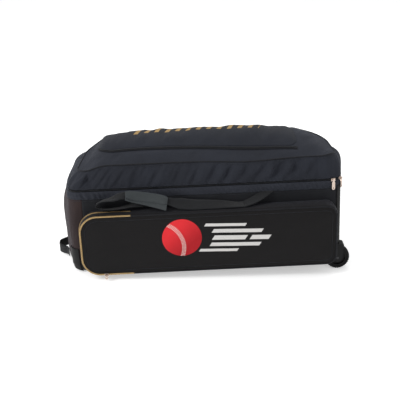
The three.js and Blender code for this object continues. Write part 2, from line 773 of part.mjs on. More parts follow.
const ledge = pocketTop + gap + strapThickness / 2;
const frontRoute = handleRoute.map((row) => {
  const x = row.at * bodyHalfLength;
  const z = ledge + row.up * strapWidth;
  const wallY = frontWallAt(x, z) - gap - strapThickness / 2;
  return { place: new THREE.Vector3(x, wallY - row.off * pocketDepth, z), lay: row.lay };
});
add("front_handle", strap(frontRoute, strapWidth, 60), webbing);

// Share of the handle's length at which it first passes a place along the bag
const handleFrame = strapFrames(frontRoute);
const handleParts = 400;
const shareAt = (x) => range(0, 1, handleParts).find((share) => handleFrame(share).place.x < x);
const gripFrom = shareAt(gripSpan.from * bodyHalfLength);
const gripTo = shareAt(gripSpan.to * bodyHalfLength);
const gripSides = 12;
function gripPoint(k, share) {
  const { place, across, face } = handleFrame(THREE.MathUtils.lerp(gripFrom, gripTo, share));
  const angle = (2 * Math.PI * k) / gripSides;
  return place.clone().addScaledVector(across, (Math.cos(angle) * gripHeight) / 2)
    .addScaledVector(face, (Math.sin(angle) * gripThickness) / 2);
}
add("grip_wrap", outward(skin({
  point: gripPoint,
  around: range(0, gripSides - 1, gripSides - 1),
  along: range(0, 1, 3),
  inner: -gripPad,
  closed: true,
})), padding);

const backHeight = wallTop - strapWidth / 2;
const backBows = [0.02, 0.08, 0.55, 0.9, 1, 0.9, 0.55, 0.08, 0.02];
const backRoute = backBows.map((bow, i) => {
  const x = THREE.MathUtils.lerp(backSpan, -backSpan, i / (backBows.length - 1));
  const wallY = -frontWallAt(x, backHeight) + gap + strapThickness / 2;
  return { place: new THREE.Vector3(x, wallY + bow * backBow, backHeight), lay: 0 };
});
add("back_handle", strap(backRoute, strapWidth, 22), webbing);

// Haul handle on the left-hand end
const endAt = (y, z) => {
  const k = startOf.left + (steps.end * (1 - y / (bodyHalfDepth - cornerRadius))) / 2;
  return bodyPoint(k, z);
};
const haulBows = [0.02, 0.1, 0.6, 0.95, 1, 0.95, 0.6, 0.1, 0.02];
const haulRoute = haulBows.map((bow, i) => {
  const place = endAt(THREE.MathUtils.lerp(haulSpan, -haulSpan, i / (haulBows.length - 1)), haulHeight);
  place.x -= haulStandoff + strapThickness / 2 + bow * haulBow;
  return { place, lay: 0 };
});
add("haul_handle", strap(haulRoute, haulWidth, 20), webbing);

// Corner guards over the left-hand base corners, and strips down the right-hand corners
const patch = (from, to, low, high) => skin({
  point: bodyPoint,
  around: stationsBetween(from, to),
  along: [low, ...trayRows.concat(wallRows).filter((row) => row > low && row < high), high],
  inner: gap,
  outer: gap + guardThickness,
  dt: 1,
});
const guardLow = trayRows[1];
const guardHigh = wallRows[1];
add("corner_guard_front", patch(startOf.frontLeft, stationCount - 1, guardLow, guardHigh), plastic);
add("corner_guard_back", patch(startOf.backLeft + 1, startOf.left, guardLow, guardHigh), plastic);
const stripLow = housingOuter + axleAboveBase + 3 * gap;
const stripHigh = wallTop - gap;
const stripFrom = seam.frontRight - stripHalfStep;
add("side_strip_front", patch(stripFrom, seam.frontRight + stripHalfStep, stripLow, stripHigh), plastic);
const stripBack = seam.backRight - stripHalfStep;
add("side_strip_back", patch(stripBack, seam.backRight + stripHalfStep, stripLow, stripHigh), plastic);

// Housings, axles and wheels
const wheelSides = 22;
const axleSides = 10;
function ring(profile, segments) {
  return new THREE.LatheGeometry(profile.map(([r, y]) => new THREE.Vector2(r, y)), segments);
}
const rimRadius = wheelRadius - tyreDepth;
const halfWheel = wheelWidth / 2;
const tyreProfile = [
  [rimRadius, -halfWheel * tyreSeat], [wheelRadius - tyreRound, -halfWheel],
  [wheelRadius, -halfWheel * tyreTread], [wheelRadius, halfWheel * tyreTread],
  [wheelRadius - tyreRound, halfWheel], [rimRadius, halfWheel * tyreSeat],
  [rimRadius, -halfWheel * tyreSeat],
];
const hubRim = rimRadius - gap;
const hubWeb = halfWheel * hubWebReach;
const hubEdge = halfWheel * hubRimReach;
const hubProfile = [
  [hubBore, -halfWheel], [hubBoss, -halfWheel], [hubBoss, -hubWeb], [hubRim - hubRimDepth, -hubWeb],
  [hubRim - hubRimDepth, -hubEdge], [hubRim, -hubEdge], [hubRim, hubEdge],
  [hubRim - hubRimDepth, hubEdge], [hubRim - hubRimDepth, hubWeb], [hubBoss, hubWeb],
  [hubBoss, halfWheel], [hubBore, halfWheel], [hubBore, -halfWheel],
];
for (const [name, side] of [["front", -1], ["back", 1]]) {
  const well = new THREE.CylinderGeometry(wheelRadius + wheelClearance, wheelRadius + wheelClearance,
    wheelWidth + 2 * sideClearance, wheelSides);
  const holeRadius = axleRadius + gap;
  const pinHole = new THREE.CylinderGeometry(holeRadius, holeRadius, 4 * housingHalfWidth, axleSides);
  for (const tool of [well, pinHole]) tool.translate(wheelReach, 0, axleAboveBase);
  for (const tool of [well, pinHole]) tool.translate(0, side * wheelLine, 0);
  add(`wheel_housing_${name}`, cut(housingBlock(side, 0), [well, pinHole]), plastic);
  const pin = new THREE.CylinderGeometry(axleRadius, axleRadius, 2 * housingHalfWidth, axleSides);
  const axle = add(`axle_${name}`, pin, metal);
  const tyre = add(`tyre_${name}`, outward(mergeVertices(ring(tyreProfile, wheelSides))), rubber);
  const hub = add(`wheel_hub_${name}`, outward(mergeVertices(ring(hubProfile, wheelSides))), plastic);
  for (const piece of [axle, tyre, hub]) piece.position.set(wheelReach, side * wheelLine, axleAboveBase);
}

// Zip sliders and pull tabs. Local X runs along the zip, Y away from the cloth, Z across the zip
function block(size, place) {
  const geometry = new THREE.BoxGeometry(...size);
  geometry.translate(...place);
  return geometry;
}
const eyeSides = 8;
const bailHeight = sliderThickness + eyeRadius + 2 * gap;
function sliderBody() {
  const reach = eyeLength / 2 + 2 * gap + postLength / 2;
  const postHeight = bailHeight + bailRadius - 2 * overlap;
  const pieces = [block([sliderLength, sliderThickness, sliderWidth], [0, sliderThickness / 2, 0])];
  for (const end of [-1, 1]) {
    pieces.push(block([postLength, postHeight, postWidth], [end * reach, postHeight / 2 + 2 * overlap, 0]));
  }
  const rod = new THREE.CylinderGeometry(bailRadius, bailRadius, 2 * reach, eyeSides);
  rod.rotateZ(Math.PI / 2);
  rod.translate(0, bailHeight, 0);
  return join([...pieces, rod]);
}
function pullTab(length) {
  const plate = new THREE.Shape();
  const tip = tabWidth / 2;
  plate.moveTo(-eyeLength / 2, 0);
  plate.lineTo(-eyeLength / 2, -eyeRadius - tabNeck);
  plate.lineTo(-tip, -eyeRadius - tabShoulder);
  plate.lineTo(-tip, -length + tip);
  plate.absarc(0, -length + tip, tip, Math.PI, 2 * Math.PI, false);
  plate.lineTo(tip, -eyeRadius - tabShoulder);
  plate.lineTo(eyeLength / 2, -eyeRadius - tabNeck);
  plate.lineTo(eyeLength / 2, 0);
  const opening = new THREE.Path();
  opening.absarc(0, -length + tip + tabHoleOffset, tabHole, 0, 2 * Math.PI, true);
  plate.holes.push(opening);
  const sheet = new THREE.ExtrudeGeometry(plate, {
    depth: tabThickness, bevelEnabled: false, curveSegments: 5,
  });
  sheet.translate(0, 0, -tabThickness / 2);
  sheet.rotateX(-Math.PI / 2);
  const eye = new THREE.CylinderGeometry(eyeRadius, eyeRadius, eyeLength, eyeSides);
  const bore = new THREE.CylinderGeometry(eyeBore, eyeBore, 2 * eyeLength, eyeSides);
  for (const round of [eye, bore]) round.rotateZ(Math.PI / 2);
  return cut(join([sheet, eye]), [bore]);
}

// Seats a slider and its tab on a zip: at is the seat, along the zip's direction, out the way it faces
function zipPull(name, at, along, out, length) {
  const down = along.clone().cross(out).normalize();
  const turn = new THREE.Matrix4().makeBasis(along, out, down);
  const slider = add(`${name}_slider`, sliderBody(), metal);
  const tab = add(`${name}_tab`, pullTab(length), metal);
  for (const piece of [slider, tab]) piece.quaternion.setFromRotationMatrix(turn);
  slider.position.copy(at);
  tab.position.copy(at).addScaledVector(out, bailHeight);
}
const coilFace = (coilThickness - fabric) / 2 + gap;
for (const [name, facet] of [["main_pull_front", 0], ["main_pull_side", 2]]) {
  const from = bodyPoint(startOf.frontRight + facet, bodyHeight);
  const to = bodyPoint(startOf.frontRight + facet + 1, bodyHeight);
  const along = to.clone().sub(from).normalize();
  const out = along.clone().cross(new THREE.Vector3(0, 0, 1)).normalize();
  zipPull(name, from.add(to).multiplyScalar(0.5).addScaledVector(out, coilFace), along, out, tabLength);
}
const pullStep = goldTo - pocketPullReach / longStep;
const pocketSeat = edgePoint(pullStep);
pocketSeat.y -= pocketPipingRadius + 2 * gap;
const pocketFacing = new THREE.Vector3(0, -1, 0);
zipPull("pocket_pull", pocketSeat, new THREE.Vector3(1, 0, 0), pocketFacing, pocketTabLength);

// The bag leans on its left-hand base edge and on its wheels
const restEdge = bodyHalfLength - baseEdge + leftBulge * bodySections[0].left;
const span = new THREE.Vector2(wheelReach + restEdge, axleAboveBase);
const tilt = Math.asin(wheelRadius / span.length()) - span.angle();
tilted.rotation.y = -tilt;
bag.updateMatrixWorld(true);
const bounds = new THREE.Box3().setFromObject(bag, true);
const middle = bounds.getCenter(new THREE.Vector3());
bag.position.set(-middle.x, -middle.y, -bounds.min.z);

export default bag;
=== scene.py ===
"""Dresses the wheeled cricket kit bag: cloth, piping, zips, webbing, padded grip, print and wheels.

Metres. X runs from the haul handle to the wheels, the bat pocket faces -Y, +Z is up. Cloth shapes are worked
out in the bag's own level frame, then leant onto the wheels by to_world().
"""
import math

import bpy
import numpy as np
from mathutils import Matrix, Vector


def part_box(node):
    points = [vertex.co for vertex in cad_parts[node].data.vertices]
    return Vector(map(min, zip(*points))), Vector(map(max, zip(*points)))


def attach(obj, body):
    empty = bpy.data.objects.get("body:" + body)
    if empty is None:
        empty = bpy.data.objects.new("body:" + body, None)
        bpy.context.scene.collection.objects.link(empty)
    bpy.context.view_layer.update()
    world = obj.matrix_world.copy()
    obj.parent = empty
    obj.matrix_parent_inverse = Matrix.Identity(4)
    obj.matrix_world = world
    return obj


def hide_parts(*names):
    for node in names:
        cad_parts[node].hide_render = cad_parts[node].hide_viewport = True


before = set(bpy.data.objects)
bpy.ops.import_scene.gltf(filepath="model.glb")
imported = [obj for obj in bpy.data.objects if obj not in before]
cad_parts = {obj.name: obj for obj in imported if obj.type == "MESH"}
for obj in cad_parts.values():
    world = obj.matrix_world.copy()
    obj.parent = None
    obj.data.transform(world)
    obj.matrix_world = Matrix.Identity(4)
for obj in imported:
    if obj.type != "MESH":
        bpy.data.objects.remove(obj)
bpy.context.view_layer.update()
BAG = "bag"

# Body and lid
BODY_HALF_LENGTH = 0.430
BODY_HALF_DEPTH = 0.160
BODY_HEIGHT = 0.285
CORNER = 0.036
BASE_EDGE = 0.022
LEFT_BULGE = 0.036
RIGHT_BULGE = 0.013
SIDE_BULGE = 0.006
CLOTH = 0.0016
TRAY_HEIGHT = 0.040
ZIP_BAND = 0.026
COIL_WIDTH = 0.0054
LID_WALL = 0.074
LID_LEAN = 0.018
LID_END_LEAN = 0.0126
LID_CORNER = 0.058
LID_BACK_CORNER = 0.100
LID_LEFT_DROP = 0.022
LID_RIGHT_DROP = 0.022
LID_DROP_FROM = 0.300
LID_RISE = 0.049
LID_LEFT_LEAN = 0.035
LID_FRONT_SAG = 0.008
LID_END_POWER = 3.6
LID_LEFT_END = 0.002
LID_RIGHT_END = 0.015
FOLD_DEPTH = 0.0115
PIPING = 0.0021
HAIR = 0.0003

# Lid pocket
TOP_POCKET_HALF_LENGTH = 0.322
TOP_POCKET_CENTRE = -0.022
TOP_POCKET_HALF_DEPTH = 0.080
TOP_POCKET_CORNER = 0.034
TOP_POCKET_PUFF = 0.0085
TOP_ZIP_LEFT = -0.336
TOP_ZIP_BEND = 0.060
TOP_ZIP_RIGHT = 0.288
TOP_ZIP_WIDTH = 0.012
TOP_ZIP_LIFT = 0.0022
TOP_POCKET_LIFT = 0.0010
STOP_CENTRE = 0.0035
STOP_HALF_LENGTH = 0.0065
STOP_HALF_WIDTH = 0.008
STOP_SWELL = 0.0022
STOP_LIFT = 0.0016

# Bat pocket
POCKET_LEFT = -0.398
POCKET_RIGHT = 0.410
POCKET_BOTTOM = 0.017
POCKET_TOP = 0.220
POCKET_DEPTH = 0.056
POCKET_LEFT_CORNER = 0.058
POCKET_RIGHT_CORNER = 0.034
POCKET_CROWN = 0.007
POCKET_PIPING = 0.0026
GOLD_REACH = 0.168
TRIM_DEPTH = 0.46

# Handles
STRAP_WIDTH = 0.036
STRAP_THICKNESS = 0.0022
GRIP_THICKNESS = 0.022
GRIP_ROLL = 0.033
GRIP_RISE = 0.008
GRIP_FOLD = 0.36
GRIP_FLAP = 0.016
HANDLE_PASS = 0.75
HAUL_BOW = 0.030
HAUL_SPAN = 0.056
HAUL_WIDTH = 0.030
HAUL_HEIGHT = 0.029
HAUL_STANDOFF = 0.0008
BACK_BOW = 0.027
BACK_SPAN = 0.205
BACK_BOWS = np.array([0.02, 0.08, 0.55, 0.9, 1, 0.9, 0.55, 0.08, 0.02])
HAUL_BOWS = np.array([0.02, 0.1, 0.6, 0.95, 1, 0.95, 0.6, 0.1, 0.02])

# Wheels
WHEEL_RADIUS = 0.040
WHEEL_WIDTH = 0.027
WHEEL_REACH = 0.423
WHEEL_LINE = 0.140
AXLE_RISE = 0.009
WHEEL_CLEARANCE = 0.0035
HOUSING_HALF_WIDTH = 0.018


def table(columns, *rows):
    """A short table as {column name: values}."""
    return dict(zip(columns.split(), np.array(rows, float).T))


# Upright shape of the walls: shares of the body height, the base edge and each bulge
BODY_SECTIONS = table(
    "height inset left right side",
    (0.0, 1.0, 0.3, 0.0, 0.0),
    (0.02, 0.46, 0.72, 0.2, 0.1),
    (0.07, 0.14, 0.86, 0.5, 0.3),
    (0.16, 0.02, 0.9, 0.8, 0.5),
    (0.34, 0.0, 0.94, 1.0, 0.8),
    (0.55, 0.0, 1.0, 1.0, 1.0),
    (0.72, 0.0, 0.96, 0.9, 0.9),
    (0.86, 0.0, 0.62, 0.8, 0.6),
    (1.0, 0.0, 0.12, 0.75, 0.3),
)
# Lid walls: shares of the wall's height, the lean and each bulge
LID_SECTIONS = table(
    "height lean left right side end",
    (0.0, 0.0, 0.12, 0.75, 0.3, 0.0),
    (0.35, 0.2, 0.04, 0.5, 0.6, 0.6),
    (0.7, 0.56, 0.0, 0.2, 0.4, 0.75),
    (1.0, 1.0, 0.0, 0.0, 0.0, 0.0),
)
# Slanted folds in the lid's front wall. at and width: shares of the half length. lean: run per unit of height
FOLDS = table(
    "at lean width depth",
    (-0.86, -0.5, 0.030, 0.7),
    (-0.68, 0.35, 0.028, 0.5),
    (-0.50, 0.4, 0.026, 0.6),
    (-0.36, 0.3, 0.030, 0.45),
    (-0.19, 0.5, 0.026, 0.7),
    (-0.06, 0.45, 0.025, 0.8),
    (0.06, 0.55, 0.024, 0.9),
    (0.17, 0.6, 0.024, 1.0),
    (0.29, 0.6, 0.026, 1.0),
    (0.41, 0.7, 0.026, 0.9),
    (0.53, 0.75, 0.025, 1.0),
    (0.65, 0.8, 0.026, 0.8),
    (0.78, 0.7, 0.030, 0.6),
)
# Front handle from its right-hand end to its left-hand end: shares of the half length, pocket depth and
# strap width. lay: degrees, 0 upright and 90 flat
HANDLE_ROUTE = table(
    "at off up lay",
    (0.28, 0.36, 0.14, 84),
    (0.24, 0.38, 0.16, 86),
    (0.2, 0.4, 0.2, 82),
    (0.1, 0.42, 0.29, 68),
    (0.0, 0.42, 0.34, 60),
    (-0.09, 0.46, 0.4, 52),
    (-0.16, 0.49, 0.52, 40),
    (-0.22, 0.52, 0.68, 26),
    (-0.27, 0.54, 0.86, 14),
    (-0.33, 0.55, 1.0, 10),
    (-0.43, 0.55, 1.2, 8),
    (-0.54, 0.55, 1.34, 16),
    (-0.61, 0.55, 1.34, 54),
    (-0.69, 0.52, 1.26, 92),
    (-0.76, 0.48, 1.04, 104),
    (-0.79, 0.46, 0.72, 106),
    (-0.77, 0.44, 0.42, 106),
    (-0.7, 0.4, 0.28, 104),
    (-0.62, 0.34, 0.32, 100),
    (-0.54, 0.22, 0.46, 88),
    (-0.46, 0.08, 0.66, 50),
)
HANDLE_SEAM = (0.172, 0.214)
HANDLE_END_BULGE = 0.007
HANDLE_END_SAG = 0.004
GRIP_FROM = -0.275
GRIP_TO = -0.58

# Places round the bag, counted as the part counts them, and what happens at each start of a side or corner
STARTS = np.array([0, 36, 40, 46, 50, 68, 72, 78, 82], float)
SIDE_X = [-1, 1, 1, 1, 1, -1, -1, -1, -1]
SIDE_Y = [-1, -1, -1, 1, 1, 1, 1, -1, -1]
SIDE_TURN = [-90, -90, 0, 0, 90, 90, 180, 180, 270]
ROUND = STARTS[-1]
SEAM_FRONT_RIGHT = 38
SEAM_BACK_RIGHT = 48
SEAM_BACK_LEFT = 70
SEAM_FRONT_LEFT = 82.3

END_REACH = 0.74
LID_HALF_LENGTH = BODY_HALF_LENGTH - LID_END_LEAN
LID_HALF_DEPTH = BODY_HALF_DEPTH - LID_LEAN
PIPING_HEIGHT = BODY_HEIGHT + LID_WALL
WALL_TOP = BODY_HEIGHT - COIL_WIDTH / 2 - ZIP_BAND
STRIP_TOP = 0.265
BACK_HANDLE_HEIGHT = 0.247
LID_START = (COIL_WIDTH / 2 + 4 * HAIR) / LID_WALL
LID_STOP = 1 - (PIPING + HAIR) / LID_WALL
POCKET_HALF_LENGTH = (POCKET_RIGHT - POCKET_LEFT) / 2
POCKET_HALF_HEIGHT = (POCKET_TOP - POCKET_BOTTOM) / 2
POCKET_MIDDLE = ((POCKET_RIGHT + POCKET_LEFT) / 2, (POCKET_TOP + POCKET_BOTTOM) / 2)
POCKET_FRONT = -BODY_HALF_DEPTH - POCKET_DEPTH


# The bag leans on its left-hand base edge and on its wheels
rest_edge = BODY_HALF_LENGTH - BASE_EDGE + LEFT_BULGE * BODY_SECTIONS["left"][0]
reach = WHEEL_REACH + rest_edge
LEAN = math.asin(WHEEL_RADIUS / math.hypot(reach, AXLE_RISE)) - math.atan2(AXLE_RISE, reach)
LEAN_MATRIX = np.array([
    [math.cos(LEAN), 0, -math.sin(LEAN)],
    [0, 1, 0],
    [math.sin(LEAN), 0, math.cos(LEAN)],
])
axle_low, axle_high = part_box("axle_front")
AXLE = np.array((axle_low + axle_high) / 2)
SHIFT = AXLE - LEAN_MATRIX @ (WHEEL_REACH, -WHEEL_LINE, AXLE_RISE)


def to_world(points):
    return np.asarray(points) @ LEAN_MATRIX.T + SHIFT


def to_world_direction(vectors):
    return np.asarray(vectors) @ LEAN_MATRIX.T


# Shapes that the part and its cloth share

def smooth_column(rows, key, name, at):
    """A column's value at places between the rows, on a smooth line through them."""
    x, y = rows[key], rows[name]
    slope = np.gradient(y, x)
    at = np.clip(at, x[0], x[-1])
    i = np.clip(np.searchsorted(x, at) - 1, 0, len(x) - 2)
    width = x[i + 1] - x[i]
    t = (at - x[i]) / width
    start = y[i] * (1 + 2 * t) * (1 - t) ** 2 + slope[i] * width * t * (1 - t) ** 2
    end = y[i + 1] * t * t * (3 - 2 * t) + slope[i + 1] * width * t * t * (t - 1)
    return start + end


def station(k):
    k = np.mod(k, ROUND)
    turn = np.radians(np.interp(k, STARTS, SIDE_TURN))
    return np.interp(k, STARTS, SIDE_X), np.interp(k, STARTS, SIDE_Y), np.cos(turn), np.sin(turn)


def ease_edge(share):
    return (1 - share ** 2) ** 2


def ease_side(share):
    return 1 - share ** 4


def step(share):
    share = np.clip(share, 0, 1)
    return share * share * (3 - 2 * share)


def piping_height(x, y):
    """The lid's edge sinks at its left-hand end and towards the back of its right-hand end."""
    run = LID_HALF_LENGTH - LID_DROP_FROM
    left = step((-x - LID_DROP_FROM) / run)
    right = step((x - LID_DROP_FROM) / run) * step((y / LID_HALF_DEPTH + 1) / 2 + 0.12)
    sag = LID_FRONT_SAG * np.exp(-(((x - 0.14) / 0.11) ** 2)) * step(-y / LID_HALF_DEPTH)
    return PIPING_HEIGHT - LID_LEFT_DROP * left - LID_RIGHT_DROP * right - sag


def lid_height(x, y):
    across = np.minimum(np.abs(y) / LID_HALF_DEPTH, 1)
    along = np.minimum(np.abs(x) / LID_HALF_LENGTH, 1)
    return piping_height(x, y) + LID_RISE * (1 - across ** 2) * (1 - along ** LID_END_POWER)


def lean_left(x, y, share):
    """The lid's left-hand end slumps inwards, most at its back."""
    near_end = step((-x - LID_DROP_FROM) / (LID_HALF_LENGTH - LID_DROP_FROM))
    return x + LID_LEFT_LEAN * near_end * share * (0.8 + 0.4 * np.clip(y / LID_HALF_DEPTH, -1, 1))


def lid_corner(sy):
    return LID_CORNER + (LID_BACK_CORNER - LID_CORNER) * (sy + 1) / 2


def body_point(k, height):
    """The wall of the body at a place round the bag and a height."""
    sx, sy, nx, ny = station(k)
    share = height / BODY_HEIGHT
    inset = BASE_EDGE * smooth_column(BODY_SECTIONS, "height", "inset", share)
    radius = CORNER - inset / 2
    x = sx * (BODY_HALF_LENGTH - inset - radius) + nx * radius
    y = sy * (BODY_HALF_DEPTH - inset - radius) + ny * radius
    left = LEFT_BULGE * smooth_column(BODY_SECTIONS, "height", "left", share)
    right = RIGHT_BULGE * smooth_column(BODY_SECTIONS, "height", "right", share)
    side = SIDE_BULGE * smooth_column(BODY_SECTIONS, "height", "side", share)
    x = x + nx * np.where(nx < 0, left, right) * ease_edge(sy * END_REACH)
    y = y + ny * side * ease_side(sx)
    return np.stack([x, y, height + 0 * x], -1)


def fold_depth(x, share):
    depth = 0
    for at, lean, width, deep in zip(*FOLDS.values()):
        middle = at * BODY_HALF_LENGTH + lean * (share - 0.5) * LID_WALL
        spread = width * BODY_HALF_LENGTH
        depth = depth + deep * np.exp(-(((x - middle) / spread) ** 2))
    return -FOLD_DEPTH * depth * np.sin(np.pi * np.clip(share, 0, 1))


def lid_wall_point(k, share):
    """The wall of the lid at a place round the bag and a share of its height."""
    sx, sy, nx, ny = station(k)
    lean = smooth_column(LID_SECTIONS, "height", "lean", share)
    radius = CORNER + (lid_corner(sy) - CORNER) * share
    x = sx * (BODY_HALF_LENGTH - lean * LID_END_LEAN - radius) + nx * radius
    y = sy * (BODY_HALF_DEPTH - lean * LID_LEAN - radius) + ny * radius
    left = LEFT_BULGE * smooth_column(LID_SECTIONS, "height", "left", share)
    right = RIGHT_BULGE * smooth_column(LID_SECTIONS, "height", "right", share)
    end = np.where(nx < 0, LID_LEFT_END, LID_RIGHT_END) * smooth_column(LID_SECTIONS, "height", "end", share)
    side = SIDE_BULGE * smooth_column(LID_SECTIONS, "height", "side", share)
    fold = np.where(ny < -0.99, fold_depth(x, share), 0)
    top = lid_height(x, y)
    x = x + nx * (end + np.where(nx < 0, left, right)) * ease_edge(sy * END_REACH)
    y = y + ny * (side * ease_side(sx) + fold)
    x = lean_left(x, y, share)
    middle = np.clip((share - LID_START) / (LID_STOP - LID_START), 0, 1)
    return np.stack([x, y, BODY_HEIGHT + share * LID_WALL - (PIPING_HEIGHT - top) * middle], -1)


def front_wall(x, z):
    share = np.clip(x / (BODY_HALF_LENGTH - CORNER), -1, 1)
    side = SIDE_BULGE * smooth_column(BODY_SECTIONS, "height", "side", z / BODY_HEIGHT)
    return -BODY_HALF_DEPTH - side * ease_side(share)


def inside_depth(a, b, half_a, half_b, radius):
    """How far a place lies inside the edge of a rounded rectangle. radius may differ from place to place."""
    qa, qb = np.abs(a) - (half_a - radius), np.abs(b) - (half_b - radius)
    outside = np.hypot(np.maximum(qa, 0), np.maximum(qb, 0))
    return radius - outside - np.minimum(np.maximum(qa, qb), 0)


# Pocket outline in front view, counted anticlockwise from its top right
POCKET_STARTS = np.array([0, 10, 14, 18, 22, 32, 36, 40, 44], float)
POCKET_X = [1, -1, -1, -1, -1, 1, 1, 1, 1]
POCKET_Z = [1, 1, 1, -1, -1, -1, -1, 1, 1]
POCKET_TURN = [90, 90, 180, 180, 270, 270, 360, 360, 450]
POCKET_ROUND = POCKET_STARTS[-1]
POCKET_STEP = (2 * POCKET_HALF_LENGTH - POCKET_LEFT_CORNER - POCKET_RIGHT_CORNER) / 10
GOLD_STEPS = (GOLD_REACH - POCKET_LEFT_CORNER) / POCKET_STEP
GOLD_FROM = 10 - GOLD_STEPS
GOLD_TO = 22 + GOLD_STEPS


def pocket_outline(k, inset):
    k = np.mod(k, POCKET_ROUND)
    turn = np.radians(np.interp(k, POCKET_STARTS, POCKET_TURN))
    side = np.interp(k, POCKET_STARTS, POCKET_X)
    corner = POCKET_LEFT_CORNER + (POCKET_RIGHT_CORNER - POCKET_LEFT_CORNER) * (side + 1) / 2
    radius = np.maximum(corner - inset, 0.004)
    x = side * (POCKET_HALF_LENGTH - inset - radius)
    z = np.interp(k, POCKET_STARTS, POCKET_Z) * (POCKET_HALF_HEIGHT - inset - radius)
    return (x + np.cos(turn) * radius + POCKET_MIDDLE[0],
            z + np.sin(turn) * radius + POCKET_MIDDLE[1])


def pocket_wall_point(k, depth):
    """The side of the bat pocket: depth runs from 0 at the body to 1 at its face."""
    x, z = pocket_outline(k, 0)
    back = front_wall(x, z) - POCKET_PIPING
    front = POCKET_FRONT + POCKET_PIPING
    return np.stack([x, back + (front - back) * depth, z], -1)


# Random but repeatable cloth

def cloth_noise(u, v, cell_u, cell_v, seed):
    """Smooth random heights from -1 to 1 over cells of the given size."""
    lattice = np.random.default_rng(seed).uniform(-1, 1, (61, 61))
    a, b = u / cell_u, v / cell_v
    i, j = np.floor(a).astype(int), np.floor(b).astype(int)
    s, t = a - i, b - j
    s, t = s * s * (3 - 2 * s), t * t * (3 - 2 * t)
    i, j, i2, j2 = i % 61, j % 61, (i + 1) % 61, (j + 1) % 61
    low = lattice[i, j] * (1 - s) + lattice[i2, j] * s
    high = lattice[i, j2] * (1 - s) + lattice[i2, j2] * s
    return low * (1 - t) + high * t


def slack(u, v, lean, length, width, seed):
    """Soft creases that run along a leaning direction."""
    angle = math.radians(lean)
    along = u * math.cos(angle) + v * math.sin(angle)
    across = v * math.cos(angle) - u * math.sin(angle)
    return cloth_noise(along, across, length, width, seed)


# Soft creases of each cloth. lean: degrees. length, width and depth: metres
CREASE_COLUMNS = "lean length width depth seed"
GUSSET_CREASES = table(CREASE_COLUMNS, (58, 0.09, 0.015, 0.0030, 31), (62, 0.16, 0.036, 0.0062, 32))
LID_CREASES = table(CREASE_COLUMNS, (62, 0.1, 0.016, 0.0026, 41), (66, 0.2, 0.05, 0.0052, 42))
TOP_POCKET_CREASES = table(CREASE_COLUMNS, (70, 0.1, 0.03, 0.0032, 51), (80, 0.07, 0.012, 0.0010, 52))
POCKET_CREASES = table(CREASE_COLUMNS, (20, 0.16, 0.05, 0.0016, 62), (35, 0.06, 0.02, 0.0005, 63))
GRIP_CREASES = table(CREASE_COLUMNS, (80, 0.04, 0.012, 0.0012, 71))


def creases(rows, u, v):
    height = 0
    for lean, length, width, depth, seed in zip(*rows.values()):
        height = height + depth * slack(u, v, lean, length, width, int(seed))
    return height


def puckers(u, v, lean, pitch, cells, seed):
    """Close waves along a seam that lean with height and wander."""
    return np.sin((u + lean * v) * 2 * np.pi / pitch + 4 * cloth_noise(u, v, *cells, seed))


# Mesh making

def grid_normals(points, closed):
    if closed:
        along = np.roll(points, -1, 1) - np.roll(points, 1, 1)
    else:
        along = np.gradient(points, axis=1)
    up = np.gradient(points, axis=0)
    normal = np.cross(along, up)
    return normal / np.maximum(np.linalg.norm(normal, axis=-1, keepdims=True), 1e-12)


def grid_uv(points, closed):
    """Metres of cloth along the columns and the rows."""
    ring = np.concatenate([points, points[:, :1]], 1) if closed else points
    across = np.linalg.norm(np.diff(ring, axis=1), axis=-1).mean(0)
    up = np.linalg.norm(np.diff(points, axis=0), axis=-1).mean(1)
    return np.concatenate([[0], np.cumsum(across)]), np.concatenate([[0], np.cumsum(up)])


def mesh_object(name, places, faces, uv=None):
    mesh = bpy.data.meshes.new(name)
    mesh.from_pydata([tuple(place) for place in places], [], faces)
    if uv is not None:
        layer = mesh.uv_layers.new(name="cloth")
        layer.data.foreach_set("uv", np.array(uv, np.float32).ravel())
    mesh.shade_smooth()
    made = bpy.data.objects.new(name, mesh)
    bpy.context.scene.collection.objects.link(made)
    return made


def grid_object(name, points, closed=False, keep=None, cap_last=False, cap_first=False):
    """A mesh from rows of points. keep marks the points that stay. Points are in the bag's own frame."""
    rows, columns = points.shape[:2]
    u, v = grid_uv(points, closed)
    faces, uv = [], []
    for j in range(rows - 1):
        for i in range(columns if closed else columns - 1):
            n = (i + 1) % columns
            corners = ((j, i), (j, n), (j + 1, n), (j + 1, i))
            if keep is not None and not all(keep[corner] for corner in corners):
                continue
            faces.append([row * columns + column for row, column in corners])
            uv += [(u[i], v[j]), (u[i + 1], v[j]), (u[i + 1], v[j + 1]), (u[i], v[j + 1])]
    for wanted, row, order in ((cap_first, 0, -1), (cap_last, rows - 1, 1)):
        if wanted:
            loop = [row * columns + i for i in range(columns)][::order]
            faces.append(loop)
            flat = points.reshape(-1, 3)[loop]
            uv += [(x, y) for x, y in flat[:, :2]]
    return mesh_object(name, to_world(points.reshape(-1, 3)), faces, uv)


def settle(piece):
    """Applies a piece's modifiers."""
    graph = bpy.context.evaluated_depsgraph_get()
    mesh = bpy.data.meshes.new_from_object(piece.evaluated_get(graph))
    piece.modifiers.clear()
    piece.data = mesh
    return piece


def thicken(piece, thickness=CLOTH):
    solid = piece.modifiers.new("cloth", "SOLIDIFY")
    solid.thickness = thickness
    solid.offset = -1
    solid.use_even_offset = False
    return settle(piece)


def dress(piece, material, nodes, body=BAG):
    piece.data.materials.clear()
    piece.data.materials.append(material)
    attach(piece, body)
    if nodes:
        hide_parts(*nodes)
    return piece


def surface(point, around, along, ripple=None, closed=False, lift=0):
    """Rows of points of a shape, moved along its own normal by a ripple."""
    k, t = np.meshgrid(around, along)
    points = point(k, t)
    moved = np.broadcast_to(lift + (ripple(k, t) if ripple else 0), k.shape)
    return points + grid_normals(points, closed) * moved[..., None]


